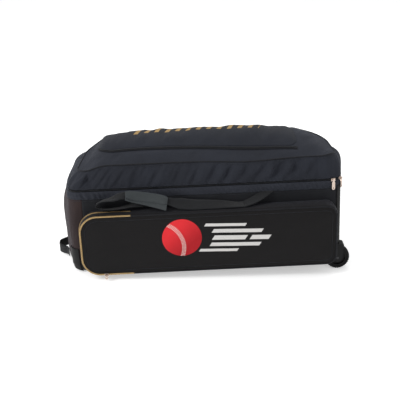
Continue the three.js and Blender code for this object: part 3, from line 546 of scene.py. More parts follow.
def even_stations(start, end, spacing, height=0.15):
    """Places round the bag that lie about evenly along the wall."""
    fine = np.linspace(start, end, 2000)
    path = body_point(fine, np.full_like(fine, height))
    run = np.concatenate([[0], np.cumsum(np.linalg.norm(np.diff(path, axis=0), axis=1))])
    count = int(run[-1] / spacing) + 1
    return np.interp(np.linspace(0, run[-1], count), run, fine)


def ring_stations(spacing, height=0.15):
    return even_stations(0, ROUND, spacing, height)[:-1]


def tube(path, radius, sides=10, closed=False):
    """A round bar along a path, with an upright frame of reference."""
    path = np.asarray(path, float)
    if closed:
        ahead = np.roll(path, -1, 0) - np.roll(path, 1, 0)
    else:
        ahead = np.gradient(path, axis=0)
    ahead /= np.linalg.norm(ahead, axis=1, keepdims=True)
    level = np.tile([0.0, 0.0, 1.0], (len(path), 1))
    level[np.abs(ahead[:, 2]) > 0.98] = (0, 1, 0)
    out = np.cross(ahead, level)
    out /= np.linalg.norm(out, axis=1, keepdims=True)
    up = np.cross(out, ahead)
    angle = np.linspace(0, 2 * np.pi, sides, endpoint=False)
    radius = np.broadcast_to(radius, len(path))[None, :, None]
    return path[None] + radius * (np.cos(angle)[:, None, None] * out + np.sin(angle)[:, None, None] * up)


def tube_object(name, path, radius, sides=10, closed=False):
    """A closed bar: the rows run round it, so the ring closes by repeating the first row."""
    rings = tube(path, radius, sides, closed).transpose(1, 0, 2)
    count = len(rings)
    faces, uv = [], []
    run = np.concatenate([[0], np.cumsum(np.linalg.norm(np.diff(path, axis=0), axis=1))])
    run = np.append(run, run[-1] + np.linalg.norm(path[-1] - path[0]))
    girth = 2 * np.pi * float(np.max(radius)) / sides
    for i in range(count if closed else count - 1):
        n = (i + 1) % count
        for s in range(sides):
            t = (s + 1) % sides
            faces.append([i * sides + s, i * sides + t, n * sides + t, n * sides + s])
            uv += [(run[i], s * girth), (run[i], (s + 1) * girth), (run[i + 1], (s + 1) * girth),
                   (run[i + 1], s * girth)]
    if not closed:
        for ring, order in ((0, -1), (count - 1, 1)):
            faces.append([ring * sides + s for s in range(sides)][::order])
            uv += [(0, 0)] * sides
    return mesh_object(name, to_world(rings.reshape(-1, 3)), faces, uv)


# Shader building

def put(tree, kind, values=None, **settings):
    """A node with its settings, and its inputs set or linked."""
    made = tree.nodes.new(kind)
    for key, value in settings.items():
        setattr(made, key, value)
    for key, value in (values or {}).items():
        if isinstance(value, bpy.types.NodeSocket):
            tree.links.new(value, made.inputs[key])
        else:
            made.inputs[key].default_value = value
    return made


def maths(tree, operation, first, second=0.0, third=0.0):
    return put(tree, "ShaderNodeMath", {0: first, 1: second, 2: third}, operation=operation).outputs[0]


def mix_colour(tree, share, first, second, blend="MIX"):
    made = put(tree, "ShaderNodeMix", {0: share, 6: first, 7: second}, data_type="RGBA", blend_type=blend)
    return made.outputs[2]


def ramp(tree, value, low, high, first=0.0, last=1.0):
    """Goes from first to last as the value goes from low to high."""
    return put(tree, "ShaderNodeMapRange", {0: value, 1: low, 2: high, 3: first, 4: last}).outputs[0]


def noise(tree, place, scale, detail=2.0, roughness=0.5):
    values = {"Vector": place, "Scale": scale, "Detail": detail, "Roughness": roughness}
    return put(tree, "ShaderNodeTexNoise", values).outputs["Fac"]


def object_place(tree):
    return put(tree, "ShaderNodeTexCoord").outputs["Object"]


def new_group(name, inputs, outputs):
    """A shader group with named sockets: name to (type, default)."""
    tree = bpy.data.node_groups.new(name, "ShaderNodeTree")
    for key, (kind, value) in inputs.items():
        socket = tree.interface.new_socket(name=key, in_out="INPUT", socket_type=f"NodeSocket{kind}")
        socket.default_value = value
    for key, kind in outputs.items():
        tree.interface.new_socket(name=key, in_out="OUTPUT", socket_type=f"NodeSocket{kind}")
    source = tree.nodes.new("NodeGroupInput")
    sink = tree.nodes.new("NodeGroupOutput")
    return tree, source.outputs, sink.inputs


def woven_group():
    """Plain weave over the piece's cloth coordinates, in metres."""
    tree, given, out = new_group(
        "weave", {"Thread": ("Float", 0.0009)}, {"Height": "Float", "Shade": "Float"})
    place = put(tree, "ShaderNodeUVMap", uv_map="cloth").outputs[0]
    split = put(tree, "ShaderNodeSeparateXYZ", {0: place})
    waves = []
    for axis in (0, 1):
        turns = maths(tree, "DIVIDE", split.outputs[axis], given["Thread"])
        waves.append(maths(tree, "SINE", maths(tree, "MULTIPLY", turns, math.pi)))
    woven = maths(tree, "MULTIPLY", waves[0], waves[1])
    height = maths(tree, "MULTIPLY_ADD", woven, 0.5, 0.5)
    tree.links.new(height, out["Height"])
    slub = noise(tree, place, 900.0)
    tree.links.new(maths(tree, "MULTIPLY_ADD", slub, 0.5, height), out["Shade"])
    return tree


def handled_group():
    """Soft patches of wear and dust over a whole piece."""
    tree, given, out = new_group(
        "handled_cloth",
        {"Colour": ("Color", (0.1, 0.1, 0.1, 1)), "Faded": ("Color", (0.2, 0.2, 0.2, 1)),
         "Shade": ("Float", 0.5), "Roughness": ("Float", 0.8)},
        {"Colour": "Color", "Roughness": "Float"})
    patches = noise(tree, object_place(tree), 9.0, 4.0, 0.6)
    share = maths(tree, "MULTIPLY", ramp(tree, patches, 0.35, 0.7), 0.55)
    threads = maths(tree, "MULTIPLY", given["Shade"], 0.18)
    mixed = mix_colour(tree, maths(tree, "ADD", share, threads), given["Colour"], given["Faded"])
    tree.links.new(mixed, out["Colour"])
    rough = maths(tree, "MULTIPLY_ADD", share, 0.12, given["Roughness"])
    tree.links.new(rough, out["Roughness"])
    return tree


def ribbed_group():
    """Webbing: ribs across the strap's width and fine twill along it."""
    tree, given, out = new_group(
        "webbing_ribs", {"Rib": ("Float", 0.0022), "Twill": ("Float", 0.0012)}, {"Height": "Float"})
    place = put(tree, "ShaderNodeUVMap", uv_map="cloth").outputs[0]
    split = put(tree, "ShaderNodeSeparateXYZ", {0: place})
    slant = maths(tree, "ADD", split.outputs[0], split.outputs[1])
    waves = []
    for run, pitch in ((split.outputs[1], "Rib"), (slant, "Twill")):
        turns = maths(tree, "DIVIDE", run, given[pitch])
        waves.append(maths(tree, "SINE", maths(tree, "MULTIPLY", turns, 2 * math.pi)))
    height = maths(tree, "MULTIPLY_ADD", waves[1], 0.35, waves[0])
    tree.links.new(maths(tree, "MULTIPLY_ADD", height, 0.35, 0.5), out["Height"])
    return tree


def edge_wear_group():
    """Where a hard piece's edges are rubbed: 1 at an edge, 0 on its faces."""
    tree, given, out = new_group(
        "edge_wear", {"Reach": ("Float", 0.0012), "Amount": ("Float", 0.6)}, {"Wear": "Float"})
    rounded = put(tree, "ShaderNodeBevel", {"Radius": given["Reach"]}, samples=6).outputs[0]
    flat = put(tree, "ShaderNodeNewGeometry").outputs["Normal"]
    same = put(tree, "ShaderNodeVectorMath", {0: rounded, 1: flat}, operation="DOT_PRODUCT").outputs["Value"]
    broken = ramp(tree, noise(tree, object_place(tree), 160.0, 3.0), 0.35, 0.65)
    rubbed = maths(tree, "MULTIPLY", ramp(tree, same, 0.995, 0.8), broken)
    tree.links.new(maths(tree, "MULTIPLY", rubbed, given["Amount"]), out["Wear"])
    return tree


def grain_group():
    """Fine pebble grain of moulded plastic and rubber."""
    tree, given, out = new_group("moulded_grain", {"Scale": ("Float", 900.0)}, {"Height": "Float"})
    values = {"Vector": object_place(tree), "Scale": given["Scale"]}
    cells = put(tree, "ShaderNodeTexVoronoi", values, feature="SMOOTH_F1")
    tree.links.new(cells.outputs["Distance"], out["Height"])
    return tree


GROUPS = {
    "weave": woven_group(),
    "handled": handled_group(),
    "ribs": ribbed_group(),
    "wear": edge_wear_group(),
    "grain": grain_group(),
}


def use(tree, key, values=None):
    made = tree.nodes.new("ShaderNodeGroup")
    made.node_tree = GROUPS[key]
    for name, value in (values or {}).items():
        if isinstance(value, bpy.types.NodeSocket):
            tree.links.new(value, made.inputs[name])
        else:
            made.inputs[name].default_value = value
    return made.outputs


def new_material(name, **constants):
    """A material and its Principled shader, with plain values on the shader's own sockets."""
    material = bpy.data.materials.new(name)
    material.use_nodes = True
    tree = material.node_tree
    shader = tree.nodes["Principled BSDF"]
    for key, value in constants.items():
        shader.inputs[key.replace("_", " ")].default_value = value
    return material, tree, shader


# Depths of the finest relief, which is bump, and the cloth's bluish sheen
WEAVE_DEPTH = 0.00025
RIB_DEPTH = 0.0005
GRAIN_DEPTH = 0.0002
SMEAR_DEPTH = 0.0001
COOL_SHEEN = (0.75, 0.8, 1.0, 1)


def bump(tree, shader, height, distance, strength=1.0):
    made = put(tree, "ShaderNodeBump", {"Height": height, "Strength": strength, "Distance": distance})
    tree.links.new(made.outputs[0], shader.inputs["Normal"])


def handle_cloth(tree, shader, colour, faded, shade, height, roughness, depth):
    """Wear, roughness and bump that every cloth has. Gives back the worn colour."""
    worn = use(tree, "handled", {
        "Colour": colour, "Faded": faded, "Shade": shade, "Roughness": roughness})
    tree.links.new(worn["Roughness"], shader.inputs["Roughness"])
    bump(tree, shader, height, depth)
    return worn["Colour"]


def cloth_material(name, colour, faded, roughness=0.8, thread=0.0009):
    material, tree, shader = new_material(
        name, Sheen_Weight=0.06, Sheen_Roughness=0.45, Sheen_Tint=COOL_SHEEN, Specular_IOR_Level=0.22)
    weave = use(tree, "weave", {"Thread": thread})
    worn = handle_cloth(tree, shader, colour, faded, weave["Shade"], weave["Height"], roughness, WEAVE_DEPTH)
    tree.links.new(worn, shader.inputs["Base Color"])
    return material


def webbing_material(name, colour, faded):
    material, tree, shader = new_material(
        name, Sheen_Weight=0.08, Sheen_Roughness=0.5, Specular_IOR_Level=0.22)
    ribs = use(tree, "ribs")
    worn = handle_cloth(tree, shader, colour, faded, ribs["Height"], ribs["Height"], 0.75, RIB_DEPTH)
    tree.links.new(worn, shader.inputs["Base Color"])
    return material


def moulded_material(name, colour, rubbed, roughness=0.55, grain=900.0):
    material, tree, shader = new_material(name, Specular_IOR_Level=0.2)
    wear = use(tree, "wear", {"Reach": 0.0015, "Amount": 0.5})
    tree.links.new(mix_colour(tree, wear["Wear"], colour, rubbed), shader.inputs["Base Color"])
    rough = maths(tree, "MULTIPLY_ADD", wear["Wear"], -0.15, roughness)
    tree.links.new(rough, shader.inputs["Roughness"])
    bump(tree, shader, use(tree, "grain", {"Scale": grain})["Height"], GRAIN_DEPTH, 0.5)
    return material


def metal_material(name, colour, dull, roughness=0.28, metallic=1.0):
    material, tree, shader = new_material(name, Metallic=metallic)
    smear = noise(tree, object_place(tree), 70.0, 5.0)
    wear = use(tree, "wear", {"Reach": 0.0006, "Amount": 0.7})
    base = mix_colour(tree, smear, dull, colour)
    tree.links.new(mix_colour(tree, wear["Wear"], base, colour), shader.inputs["Base Color"])
    rough = ramp(tree, smear, 0.3, 0.7, roughness, roughness + 0.18)
    tree.links.new(rough, shader.inputs["Roughness"])
    bump(tree, shader, smear, SMEAR_DEPTH, 0.3)
    return material


def rgb(red, green, blue):
    """A colour seen on screen, 0 to 255, as the shader's linear values."""
    def linear(value):
        share = value / 255
        return share / 12.92 if share <= 0.04045 else ((share + 0.055) / 1.055) ** 2.4
    return (linear(red), linear(green), linear(blue), 1)


navy_cloth = cloth_material("navy_cloth", rgb(24, 26, 33), rgb(39, 42, 50))
band_cloth = cloth_material("band_cloth", rgb(31, 33, 40), rgb(46, 49, 57))
charcoal_cloth = cloth_material("charcoal_cloth", rgb(18, 19, 22), rgb(30, 31, 35))
black_cloth = cloth_material("black_cloth", rgb(13, 12, 13), rgb(23, 21, 22))
# Black cloth tinted brown: the brown tint is painted warm light that falls on the bag's left-hand end.
painted_warm_light_cloth = cloth_material("painted_warm_light_cloth", rgb(36, 26, 26), rgb(51, 39, 38))
piping_cloth = cloth_material("piping_cloth", rgb(9, 9, 12), rgb(22, 23, 27), roughness=0.7, thread=0.0007)
zip_tape = cloth_material("zip_tape", rgb(12, 12, 15), rgb(24, 25, 29), thread=0.0006)
grip_cloth = cloth_material("grip_cloth", rgb(43, 47, 49), rgb(60, 64, 65), thread=0.0011)
webbing = webbing_material("webbing", rgb(17, 18, 20), rgb(30, 31, 34))
thread = cloth_material("thread", rgb(38, 40, 45), rgb(66, 68, 74), thread=0.0004)
moulded = moulded_material("moulded_black", rgb(13, 13, 14), rgb(44, 44, 46))
rubber = moulded_material("wheel_rubber", rgb(18, 18, 19), rgb(46, 45, 44), roughness=0.72, grain=600.0)
coil = moulded_material("dark_coil", rgb(18, 19, 22), rgb(62, 64, 70), roughness=0.4, grain=2000.0)
gold = metal_material("gold_coil", rgb(196, 168, 118), rgb(158, 130, 86), roughness=0.38, metallic=0.45)
rose_metal = metal_material("rose_metal", rgb(222, 206, 194), rgb(168, 148, 136), roughness=0.22)
steel = metal_material("steel_pin", rgb(74, 74, 76), rgb(50, 50, 52))


# Rows of repeated pieces: stitches and teeth

def repeat_tree(name, shape):
    """Geometry nodes that set a small shape along every path, turned to face out of the cloth."""
    tree = bpy.data.node_groups.new(name, "GeometryNodeTree")
    face = tree.interface
    face.new_socket(name="Paths", in_out="INPUT", socket_type="NodeSocketGeometry")
    for key in ("Spacing", "Length", "Width", "Height", "Variation"):
        face.new_socket(name=key, in_out="INPUT", socket_type="NodeSocketFloat")
    face.new_socket(name="Seed", in_out="INPUT", socket_type="NodeSocketInt")
    face.new_socket(name="Material", in_out="INPUT", socket_type="NodeSocketMaterial")
    face.new_socket(name="Rows", in_out="OUTPUT", socket_type="NodeSocketGeometry")
    given = tree.nodes.new("NodeGroupInput").outputs
    sink = tree.nodes.new("NodeGroupOutput").inputs
    curve = put(tree, "GeometryNodeMeshToCurve", {"Mesh": given["Paths"]}).outputs[0]
    even = put(tree, "GeometryNodeResampleCurve", {"Curve": curve, "Length": given["Spacing"]}, mode="LENGTH")
    out = put(tree, "GeometryNodeInputNamedAttribute", {"Name": "face"}, data_type="FLOAT_VECTOR").outputs[0]
    ahead = tree.nodes.new("GeometryNodeInputTangent").outputs[0]
    turn = put(tree, "FunctionNodeAxesToRotation", {0: out, 1: ahead}, primary_axis="Z", secondary_axis="X")
    if shape == "block":
        unit = put(tree, "GeometryNodeMeshCube", {"Size": (1, 1, 1)}).outputs[0]
    else:
        unit = put(tree, "GeometryNodeMeshIcoSphere", {"Radius": 0.5, "Subdivisions": 2}).outputs[0]
    size = put(tree, "ShaderNodeCombineXYZ", {0: given["Length"], 1: given["Width"], 2: given["Height"]})
    size = size.outputs[0]
    low = maths(tree, "SUBTRACT", 1.0, given["Variation"])
    values = {2: low, 3: 1.0, "Seed": given["Seed"]}
    vary = put(tree, "FunctionNodeRandomValue", values, data_type="FLOAT").outputs[1]
    scale = put(tree, "ShaderNodeVectorMath", {0: size, "Scale": vary}, operation="SCALE").outputs[0]
    placed = put(tree, "GeometryNodeInstanceOnPoints", {
        "Points": even.outputs[0], "Instance": unit, "Rotation": turn.outputs[0], "Scale": scale}).outputs[0]
    real = put(tree, "GeometryNodeRealizeInstances", {0: placed}).outputs[0]
    looks = put(tree, "GeometryNodeSetMaterial", {"Geometry": real, "Material": given["Material"]}).outputs[0]
    tree.links.new(looks, sink["Rows"])
    return tree


REPEATS = {
    "block": repeat_tree("blocks_along_paths", "block"),
    "bead": repeat_tree("beads_along_paths", "bead"),
}
# Sizes of one repeated piece, in metres
REPEAT_SIZE = ("Spacing", "Length", "Width", "Height")
SEAM_STITCH = (0.0038, 0.0028, 0.0007, 0.0006)
STRAP_STITCH = (0.0042, 0.0034, 0.0008, 0.0006)
ZIP_TOOTH = (0.0021, 0.0013, 0.0042, 0.0016)
TOP_ZIP_TOOTH = (0.0021, 0.0013, 0.004, 0.0014)
GOLD_TOOTH = (0.0026, 0.0016, 0.0046, 0.0018)
GOLD_TRIM_TOOTH = (0.0026, 0.0015, 0.0032, 0.001)


def rows_of(name, shape, paths, size, material):
    """One mesh of small pieces along paths of (points, outward directions, closed)."""
    places, edges, outs = [], [], []
    for points, out, closed in paths:
        start, count = len(places), len(points)
        places += list(to_world(points))
        outs += list(to_world_direction(out))
        edges += [(start + i, start + i + 1) for i in range(count - 1)]
        if closed:
            edges.append((start + count - 1, start))
    mesh = bpy.data.meshes.new(name)
    mesh.from_pydata([tuple(place) for place in places], edges, [])
    layer = mesh.attributes.new("face", "FLOAT_VECTOR", "POINT")
    layer.data.foreach_set("vector", np.array(outs, np.float32).ravel())
    made = bpy.data.objects.new(name, mesh)
    bpy.context.scene.collection.objects.link(made)
    modifier = made.modifiers.new("rows", "NODES")
    modifier.node_group = REPEATS[shape]
    values = dict(zip(REPEAT_SIZE, size), Variation=0.12, Seed=7, Material=material)
    for socket in REPEATS[shape].interface.items_tree:
        if socket.in_out == "INPUT" and socket.name in values:
            modifier[socket.identifier] = values[socket.name]
    settle(made)
    made.data.shade_smooth()
    return dress(made, material, [])


# Walls and base

def clear_of_wheels(points):
    """Marks the points that lie outside the two wheel wells."""
    x, y, z = points[..., 0], points[..., 1], points[..., 2]
    away = np.hypot(x - WHEEL_REACH, z - AXLE_RISE) > WHEEL_RADIUS + WHEEL_CLEARANCE + 0.0015
    return away | (np.abs(np.abs(y) - WHEEL_LINE) > HOUSING_HALF_WIDTH - 0.0008)


# How far one place round the bag lies from the next, the spacing of folded cloth's mesh,
# and the height in metres at which the lid's places are spaced
STATION_RUN = 0.03
FINE_SPACING = 0.0036
LID_LEVEL = 0.28


def wall_ripple(depth, lean, seed):
    def ripple(k, height):
        u = k * STATION_RUN
        body = np.sin(np.pi * np.clip((height - TRAY_HEIGHT) / (WALL_TOP - TRAY_HEIGHT), 0, 1)) ** 0.5
        broad = slack(u, height, lean, 0.16, 0.05, seed)
        fine = slack(u, height, lean + 20, 0.05, 0.014, seed + 1)
        return body * depth * (0.7 * broad + 0.3 * fine)
    return ripple


def wall(name, start, end, material, depth, lean, seed):
    stations = even_stations(start, end, 0.0045)
    heights = np.linspace(TRAY_HEIGHT - 0.004, WALL_TOP + 0.001, 52)
    points = surface(body_point, stations, heights, wall_ripple(depth, lean, seed))
    piece = grid_object(f"{name}_cloth", points, keep=clear_of_wheels(points))
    dress(thicken(piece), material, [name])


def build_walls():
    front_left = SEAM_FRONT_LEFT - ROUND
    wall("front_panel", front_left, SEAM_FRONT_RIGHT, charcoal_cloth, 0.0024, 82, 3)
    wall("back_panel", SEAM_BACK_RIGHT, SEAM_BACK_LEFT, navy_cloth, 0.0030, 75, 5)
    wall("right_end_panel", SEAM_FRONT_RIGHT, SEAM_BACK_RIGHT, moulded, 0.0004, 80, 7)
    # The left-hand end panel's brown tint is painted warm light on black cloth.
    wall("left_end_panel", SEAM_BACK_LEFT, SEAM_FRONT_LEFT, painted_warm_light_cloth, 0.0026, 60, 9)


def build_tray():
    stations = ring_stations(0.005)
    heights = np.concatenate([np.linspace(0, 0.006, 5)[:-1], np.linspace(0.006, TRAY_HEIGHT, 12)])
    side = surface(body_point, stations, heights, closed=True)
    base = body_point(stations, np.zeros_like(stations))
    middle = base * (0.55, 0.0, 1.0)
    inner = [base + (middle - base) * (1 - share) for share in (0.0, 0.35, 0.75)]
    points = np.concatenate([np.array(inner), side])
    piece = grid_object("moulded_tray", points, closed=True, keep=clear_of_wheels(points))
    dress(thicken(piece, 0.002), moulded, ["base_tray"])


# Main zip

BAND_SWELL = 0.0026
BAND_LIP = 0.0013
BAND_PUCKER = 1.2
TAPE_SINK = 0.0012
TOOTH_SINK = 0.0002


def band_ripple(k, height):
    """Small leaning puckers that die out towards the coil."""
    u = k * STATION_RUN
    share = (height - WALL_TOP) / ZIP_BAND
    swell = BAND_SWELL * np.sin(np.pi * np.clip(share, 0, 1)) ** 0.7
    lip = BAND_LIP * np.exp(-(((height - WALL_TOP - 0.0018) / 0.0016) ** 2))
    pucker = puckers(u, height, 0.8, 0.024, (0.07, 0.03), 21)
    strength = 0.55 + 0.45 * cloth_noise(u, height, 0.09, 0.05, 22)
    return lip + swell * (1 + BAND_PUCKER * pucker * strength)


def build_main_zip():
    stations = ring_stations(FINE_SPACING)
    rows = np.linspace(WALL_TOP, BODY_HEIGHT - COIL_WIDTH / 2, 11)
    band = surface(body_point, stations, rows, band_ripple, closed=True)
    piece = thicken(grid_object("zip_band_cloth", band, closed=True))
    dress(piece, band_cloth, ["zip_band"])
    rows = np.linspace(BODY_HEIGHT - COIL_WIDTH / 2, BODY_HEIGHT + COIL_WIDTH / 2 + HAIR, 4)
    tape = surface(body_point, stations, rows, closed=True, lift=-TAPE_SINK)
    dress(thicken(grid_object("zip_tape", tape, closed=True)), zip_tape, ["zip_coil"])
    line = surface(body_point, stations, BODY_HEIGHT + np.array([-0.001, 0, 0.001]), closed=True)
    out = grid_normals(line, True)[1]
    rows_of("zip_teeth", "block", [(line[1] - out * TOOTH_SINK, out, True)], ZIP_TOOTH, coil)


# Lid

GUSSET_PUCKER = 0.0008
PIPING_LIFT = 0.0006
CREASE_EDGE = 0.03


def gusset_ripple(k, share):
    u, v = k * STATION_RUN, share * LID_WALL
    middle = np.sin(np.pi * np.clip(share, 0, 1)) ** 0.6
    low = np.exp(-((share - 0.12) / 0.12) ** 2)
    pucker = puckers(u, v, 0.3, 0.026, (0.08, 0.08), 33)
    return middle * creases(GUSSET_CREASES, u, v) + low * GUSSET_PUCKER * pucker


def build_lid():
    stations = ring_stations(FINE_SPACING, LID_LEVEL)
    gusset = surface(lid_wall_point, stations, np.linspace(LID_START, 1, 34), gusset_ripple, closed=True)
    piece = thicken(grid_object("lid_gusset_cloth", gusset, closed=True))
    dress(piece, navy_cloth, ["lid_gusset"])
    edge = lid_wall_point(stations, np.ones_like(stations))
    edge[:, 2] += PIPING_LIFT
    piece = tube_object("lid_piping_cloth", edge, PIPING, closed=True)
    dress(piece, piping_cloth, ["lid_piping"])
    corners = (LID_CORNER, LID_BACK_CORNER)
    x, y = rounded_panel(LID_HALF_LENGTH, LID_HALF_DEPTH, corners, corners, 220, 74)
    corner = np.where(y > 0, LID_BACK_CORNER, LID_CORNER)
    depth = inside_depth(x, y, LID_HALF_LENGTH, LID_HALF_DEPTH, corner)
    ease = 1 - np.exp(-(depth / CREASE_EDGE) ** 2)
    over = inside_depth(x - TOP_POCKET_CENTRE, y - zip_skew(x, y),
                        TOP_POCKET_HALF_LENGTH, TOP_POCKET_HALF_DEPTH, TOP_POCKET_CORNER)
    clear = 1 - step((over + 0.034) / 0.02)
    lift = ease * clear * creases(LID_CREASES, x, y)
    points = np.stack([lean_left(x, y, 1), y, lid_height(x, y) + lift], -1)
    dress(thicken(grid_object("lid_cloth", points)), navy_cloth, ["lid_panel"])


def zip_skew(x, y):
    """The front edge of the lid pocket runs nearer the bag's front at its right-hand end."""
    front = np.clip(-y / TOP_POCKET_HALF_DEPTH, 0, 1)
    return front * (0.008 - 0.022 * (x + 0.32) / 0.60)


def rounded_panel(half_a, half_b, left, right, count_a, count_b):
    """Even rows over a rounded rectangle. left, right: radii of each end's lower and upper corner."""
    turn = np.sin(np.linspace(0, np.pi / 2, 20))
    low_end = -half_a + max(left) * (1 - turn)
    high_end = half_a - max(right) * (1 - turn)
    middle = np.linspace(low_end[0], high_end[0], count_a)
    a = np.concatenate([low_end[::-1][:-1], middle, high_end[1:]])
    reach_b = []
    for corner in (0, 1):
        radius = np.where(a < 0, left[corner], right[corner])
        over = np.maximum(np.abs(a) - (half_a - radius), 0)
        reach_b.append(half_b - radius + np.sqrt(np.maximum(radius ** 2 - over ** 2, 0)))
    a, share = np.meshgrid(a, np.linspace(0, 1, count_b))
    return a, -reach_b[0] + share * (reach_b[0] + reach_b[1])


def top_zip_path(count):
    """The zip along the lid pocket's front edge, bending back round its left-hand corner."""
    line_y = -TOP_POCKET_HALF_DEPTH - TOP_ZIP_WIDTH / 2 - 0.002
    angle = np.linspace(0, np.radians(78), 40)
    bend_x = TOP_ZIP_LEFT + TOP_ZIP_BEND * (1 - np.sin(angle))
    bend_y = line_y + TOP_ZIP_BEND * (1 - np.cos(angle))
    x = np.concatenate([bend_x[::-1], np.linspace(bend_x[0], TOP_ZIP_RIGHT, 150)[1:]])
    y = np.concatenate([bend_y[::-1], np.full(149, line_y)])
    run = np.concatenate([[0], np.cumsum(np.hypot(np.diff(x), np.diff(y)))])
    at = np.linspace(0, run[-1], count)
    return np.interp(at, run, x), np.interp(at, run, y)


def build_top_pocket():
    left = (TOP_ZIP_BEND, TOP_POCKET_CORNER)
    right = (TOP_POCKET_CORNER, TOP_POCKET_CORNER)
    x, y = rounded_panel(TOP_POCKET_HALF_LENGTH, TOP_POCKET_HALF_DEPTH, left, right, 190, 60)
    corner = np.where((x < 0) & (y < 0), TOP_ZIP_BEND, TOP_POCKET_CORNER)
    depth = inside_depth(x, y, TOP_POCKET_HALF_LENGTH, TOP_POCKET_HALF_DEPTH, corner)
    puff = TOP_POCKET_PUFF * np.tanh(np.maximum(depth, 0) / 0.026)
    sag = 1 - np.exp(-(depth / 0.02) ** 2)
    crease = creases(TOP_POCKET_CREASES, x, y)
    x = x + TOP_POCKET_CENTRE
    y = y + zip_skew(x, y)
    points = np.stack([lean_left(x, y, 1), y, lid_height(x, y) + TOP_POCKET_LIFT + puff + sag * crease], -1)
    dress(thicken(grid_object("top_pocket_cloth", points)), barred_cloth, ["top_pocket"])
    x, y = top_zip_path(190)
    ahead = np.stack([np.gradient(x), np.gradient(y)], -1)
    ahead /= np.linalg.norm(ahead, axis=1, keepdims=True)
    across = np.linspace(-TOP_ZIP_WIDTH / 2, TOP_ZIP_WIDTH / 2, 5)[:, None]
    x, y = x - across * ahead[:, 1], y + across * ahead[:, 0]
    y = y + zip_skew(x, y)
    tape = np.stack([lean_left(x, y, 1), y, lid_height(x, y) + TOP_ZIP_LIFT], -1)
    dress(thicken(grid_object("top_zip_tape", tape), 0.001), zip_tape, ["top_pocket_zip"])
    middle = tape[2] + (0, 0, 0.0004)
    rows_of("top_zip_teeth", "block", [(middle, grid_normals(tape, False)[2], False)],
            TOP_ZIP_TOOTH, coil)
    along, beside = np.meshgrid(np.linspace(-1, 1, 6), np.linspace(-1, 1, 6))
    x = TOP_ZIP_RIGHT + STOP_CENTRE + STOP_HALF_LENGTH * along
    y = y[2, -1] + STOP_HALF_WIDTH * beside
    swell = STOP_SWELL * (1 - along ** 4) * (1 - beside ** 4)
    stop = np.stack([x, y, lid_height(x, y) + STOP_LIFT + swell], -1)
    dress(thicken(grid_object("top_zip_stop", stop), 0.002), zip_tape, [])


# Bat pocket

def pocket_ripple(k, depth):
    middle = np.sin(np.pi * depth) ** 0.5
    return middle * (0.0012 + 0.0014 * cloth_noise(k * 0.05, depth * 0.05, 0.09, 0.03, 61))


def ridge(depth, middle, width, height):
    return height * np.exp(-((depth - middle) / width) ** 2)


def build_bat_pocket():
    ring = even_pocket(0, POCKET_ROUND, 0.0045)[:-1]
    side = surface(pocket_wall_point, ring, np.linspace(0, 1, 13), pocket_ripple, closed=True)
    piece = thicken(grid_object("pocket_side_cloth", side, closed=True))
    dress(piece, black_cloth, ["pocket_gusset"])
    inset = POCKET_PIPING * 1.2
    half_a, half_b = POCKET_HALF_LENGTH - inset, POCKET_HALF_HEIGHT - inset
    left, right = POCKET_LEFT_CORNER - inset, POCKET_RIGHT_CORNER - inset
    x, z = rounded_panel(half_a, half_b, (left, left), (right, right), 190, 62)
    depth = inside_depth(x, z, half_a, half_b, np.where(x < 0, left, right))
    crown = POCKET_CROWN * (1 - np.clip(1 - depth / (0.85 * POCKET_HALF_HEIGHT), 0, 1) ** 2)
    seam = ridge(depth, 0.010, 0.0016, 0.0009) - ridge(depth, 0.0135, 0.0018, 0.0008)
    ease = 1 - np.exp(-(depth / CREASE_EDGE) ** 2)
    y = POCKET_FRONT + POCKET_PIPING - crown - seam - ease * creases(POCKET_CREASES, x, z)
    points = np.stack([x + POCKET_MIDDLE[0], y, z + POCKET_MIDDLE[1]], -1)
    dress(thicken(grid_object("pocket_face_cloth", points)), pocket_print, ["pocket_face"])
    build_pocket_edges()


def even_pocket(start, end, spacing):
    fine = np.linspace(start, end, 2000)
    x, z = pocket_outline(fine, 0)
    run = np.concatenate([[0], np.cumsum(np.hypot(np.diff(x), np.diff(z)))])
    return np.interp(np.linspace(0, run[-1], int(run[-1] / spacing) + 1), run, fine)


def front_edge(k):
    x, z = pocket_outline(k, POCKET_PIPING)
    return np.stack([x, np.full_like(x, POCKET_FRONT + POCKET_PIPING), z], -1)


def build_pocket_edges():
    plain = even_pocket(GOLD_TO, POCKET_ROUND + GOLD_FROM, 0.004)
    dress(tube_object("pocket_piping_cloth", front_edge(plain), POCKET_PIPING), piping_cloth,
          ["pocket_piping"])
    ring = even_pocket(0, POCKET_ROUND, 0.005)[:-1]
    x, z = pocket_outline(ring, POCKET_PIPING)
    back = np.stack([x, front_wall(x, z) - POCKET_PIPING, z], -1)
    dress(tube_object("pocket_back_piping_cloth", back, POCKET_PIPING, closed=True), piping_cloth,
          ["pocket_back_piping"])
    golden = even_pocket(GOLD_FROM, GOLD_TO, 0.003)
    dress(tube_object("gold_zip_cord", front_edge(golden), POCKET_PIPING * 0.8), gold,
          ["pocket_zip_gold"])
    x, z = pocket_outline(golden, 0)
    fx, fz = pocket_outline(golden, 0.001)
    out = np.stack([x - fx, 0 * x, z - fz], -1)
    out /= np.linalg.norm(out, axis=1, keepdims=True)
    line = surface(pocket_wall_point, golden, [TRIM_DEPTH - 0.04, TRIM_DEPTH, TRIM_DEPTH + 0.04])
    rows = np.linspace(TRIM_DEPTH - 0.05, TRIM_DEPTH + 0.05, 5)
    trim = surface(pocket_wall_point, golden, rows, lift=0.0024)
    dress(thicken(grid_object("gold_trim_band", trim), 0.0012), gold, ["pocket_trim_gold"])
    teeth = [(front_edge(golden) + out * 0.0016 + (0, -0.0012, 0), out * 0.7 + (0, -0.7, 0), False)]
    rows_of("gold_teeth", "block", teeth, GOLD_TOOTH, gold)
    trim_teeth = [(line[1] + out * 0.0036, out, False)]
    rows_of("gold_trim_teeth", "block", trim_teeth, GOLD_TRIM_TOOTH, gold)


# Straps

